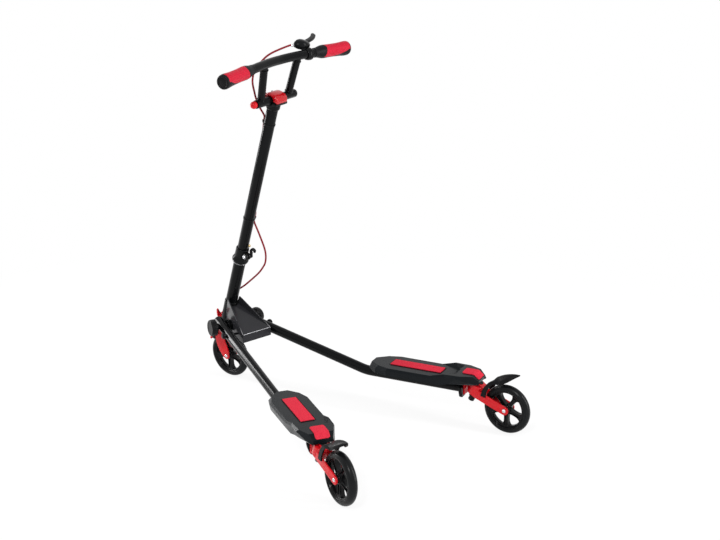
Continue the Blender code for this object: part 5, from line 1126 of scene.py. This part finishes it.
# Casters: a red folded bracket on the arm's end holds a thick kingpin; the fork's round head
# turns on it and its two blades trail the wheel, with a moulded mudguard over the tyre.
CASTER_TURN = 12.4
king = at(0, 0, CASTER_HEIGHT) @ spun(-CASTER_LEAN, "Y")
for word, side in SIDES:
    trail = arm_end(side, CASTER_TURN)
    hanger = plate([(36.2, 75), (36.2, 107.5), beside_kingpin(21.5, 19.3),
                    beside_kingpin(-20, 19.3), beside_kingpin(-20, 15.3),
                    beside_kingpin(23.5, 15.3), (30, 104), (30, 75)], 22, 1, ease=1.6)
    gusset = plate([(30.2, 103.5), (30.2, 86), beside_kingpin(20.5, 15)], 3, 0.6, ease=1.2)
    hanger = joined([(hanger, facing_y)]
                    + [(gusset, at(0, y, 0) @ facing_y) for y in (9.4, -9.4)])
    fitted(word + "_caster_hanger", hanger, trail, word + "_arm", gloss_red, "red_paint",
           word + "_caster_bracket")
    kingpin = turned([(0, 21.6), (8.2, 21.6), (9, 20.8), (9, 19.6), (6, 19.6), (6, -15.3),
                      (13, -15.3), (13, -17.8), (10, -19.3), (10, -26.3), (8, -27.3),
                      (8, -37.2), (0, -37.3)], 48, 0.4)
    fitted(word + "_king_bolt", kingpin, trail @ king, word + "_arm", satin_black, "black_paint",
           word + "_kingpin")

    head = turned([(6.3, 15), (18.8, 15), (20, 13.8), (20, -13.8), (18.8, -15), (6.3, -15)],
                  96, 0.8, closed=True)
    top = (-5, 89)
    low = (-87, WHEEL_RADIUS)
    slant = math.degrees(math.atan2(top[1] - low[1], top[0] - low[0]))
    strap = plate(arc(top, 11.3, slant - 90, slant + 90, 16)
                  + arc(low, 11.3, slant + 90, slant + 270, 16), 4, 1, [hole(low, 4.3, 24)])
    fork = joined([(head, king)] + [(strap, at(0, y, 0) @ facing_y)
                                    for y in (BLADE_OFFSET, -BLADE_OFFSET)])
    fitted(word + "_trailing_fork", fork, trail, word + "_caster", gloss_red, "red_paint",
           word + "_caster_fork")
    wheel_place = trail @ at(low[0], 0, low[1])
    wheel("rear_" + word, word + "_rear_wheel", wheel_place)
    axle_bolt("rear_" + word + "_axle", word + "_caster", wheel_place)

    # Two side rails by the tyre that merge into a leaf with a drooping, pointed end
    spine = rounded([(58, 25, 13), (56, 35, 12), (50.5, 48, 11), (42, 60.2, 10), (30.5, 71.5, 9),
                     (16, 81.2, 7.6), (0, 88.2, 6), (-16, 92.8, 4.6), (-32, 95.2, 3)], 3)
    rings = []
    for i, (x, z, thick) in enumerate(spine):
        share = i / (len(spine) - 1)
        normal = -square_to(spine, i)
        leaf = min(1, max(0, (share - 0.36) / 0.20))
        leaf = leaf * leaf * (3 - 2 * leaf)
        point = max(0, (share - 0.60) / 0.40)
        outside = (22.1 * (1 - leaf) + 17.5 * leaf) * max(0.03, 1 - point ** 1.8)
        inside = min(18.6 * (1 - leaf), outside * 0.9)
        drop = 12.5 * leaf * (1 - point ** 2)
        upper = []
        lower = []
        for step in range(7):
            y = inside + (outside - inside) * step / 6
            fall = drop * (y / outside) ** 2
            upper.append((y, thick / 2 - fall))
            lower.append((y, -thick / 2 - fall * (0.85 if step < 6 else 1)))
        rings.append([(x + normal.x * level, y, z + normal.y * level)
                      for y, level in upper + lower[::-1]])
    halves = [(loft([[(x, hand * y, z) for x, y, z in ring] for ring in rings]), still)
              for hand in (1, -1)]
    fitted(word + "_mudguard_leaf", joined(halves), wheel_place, word + "_caster", black_nylon,
           "black_plastic", word + "_mudguard", soften=0.5)
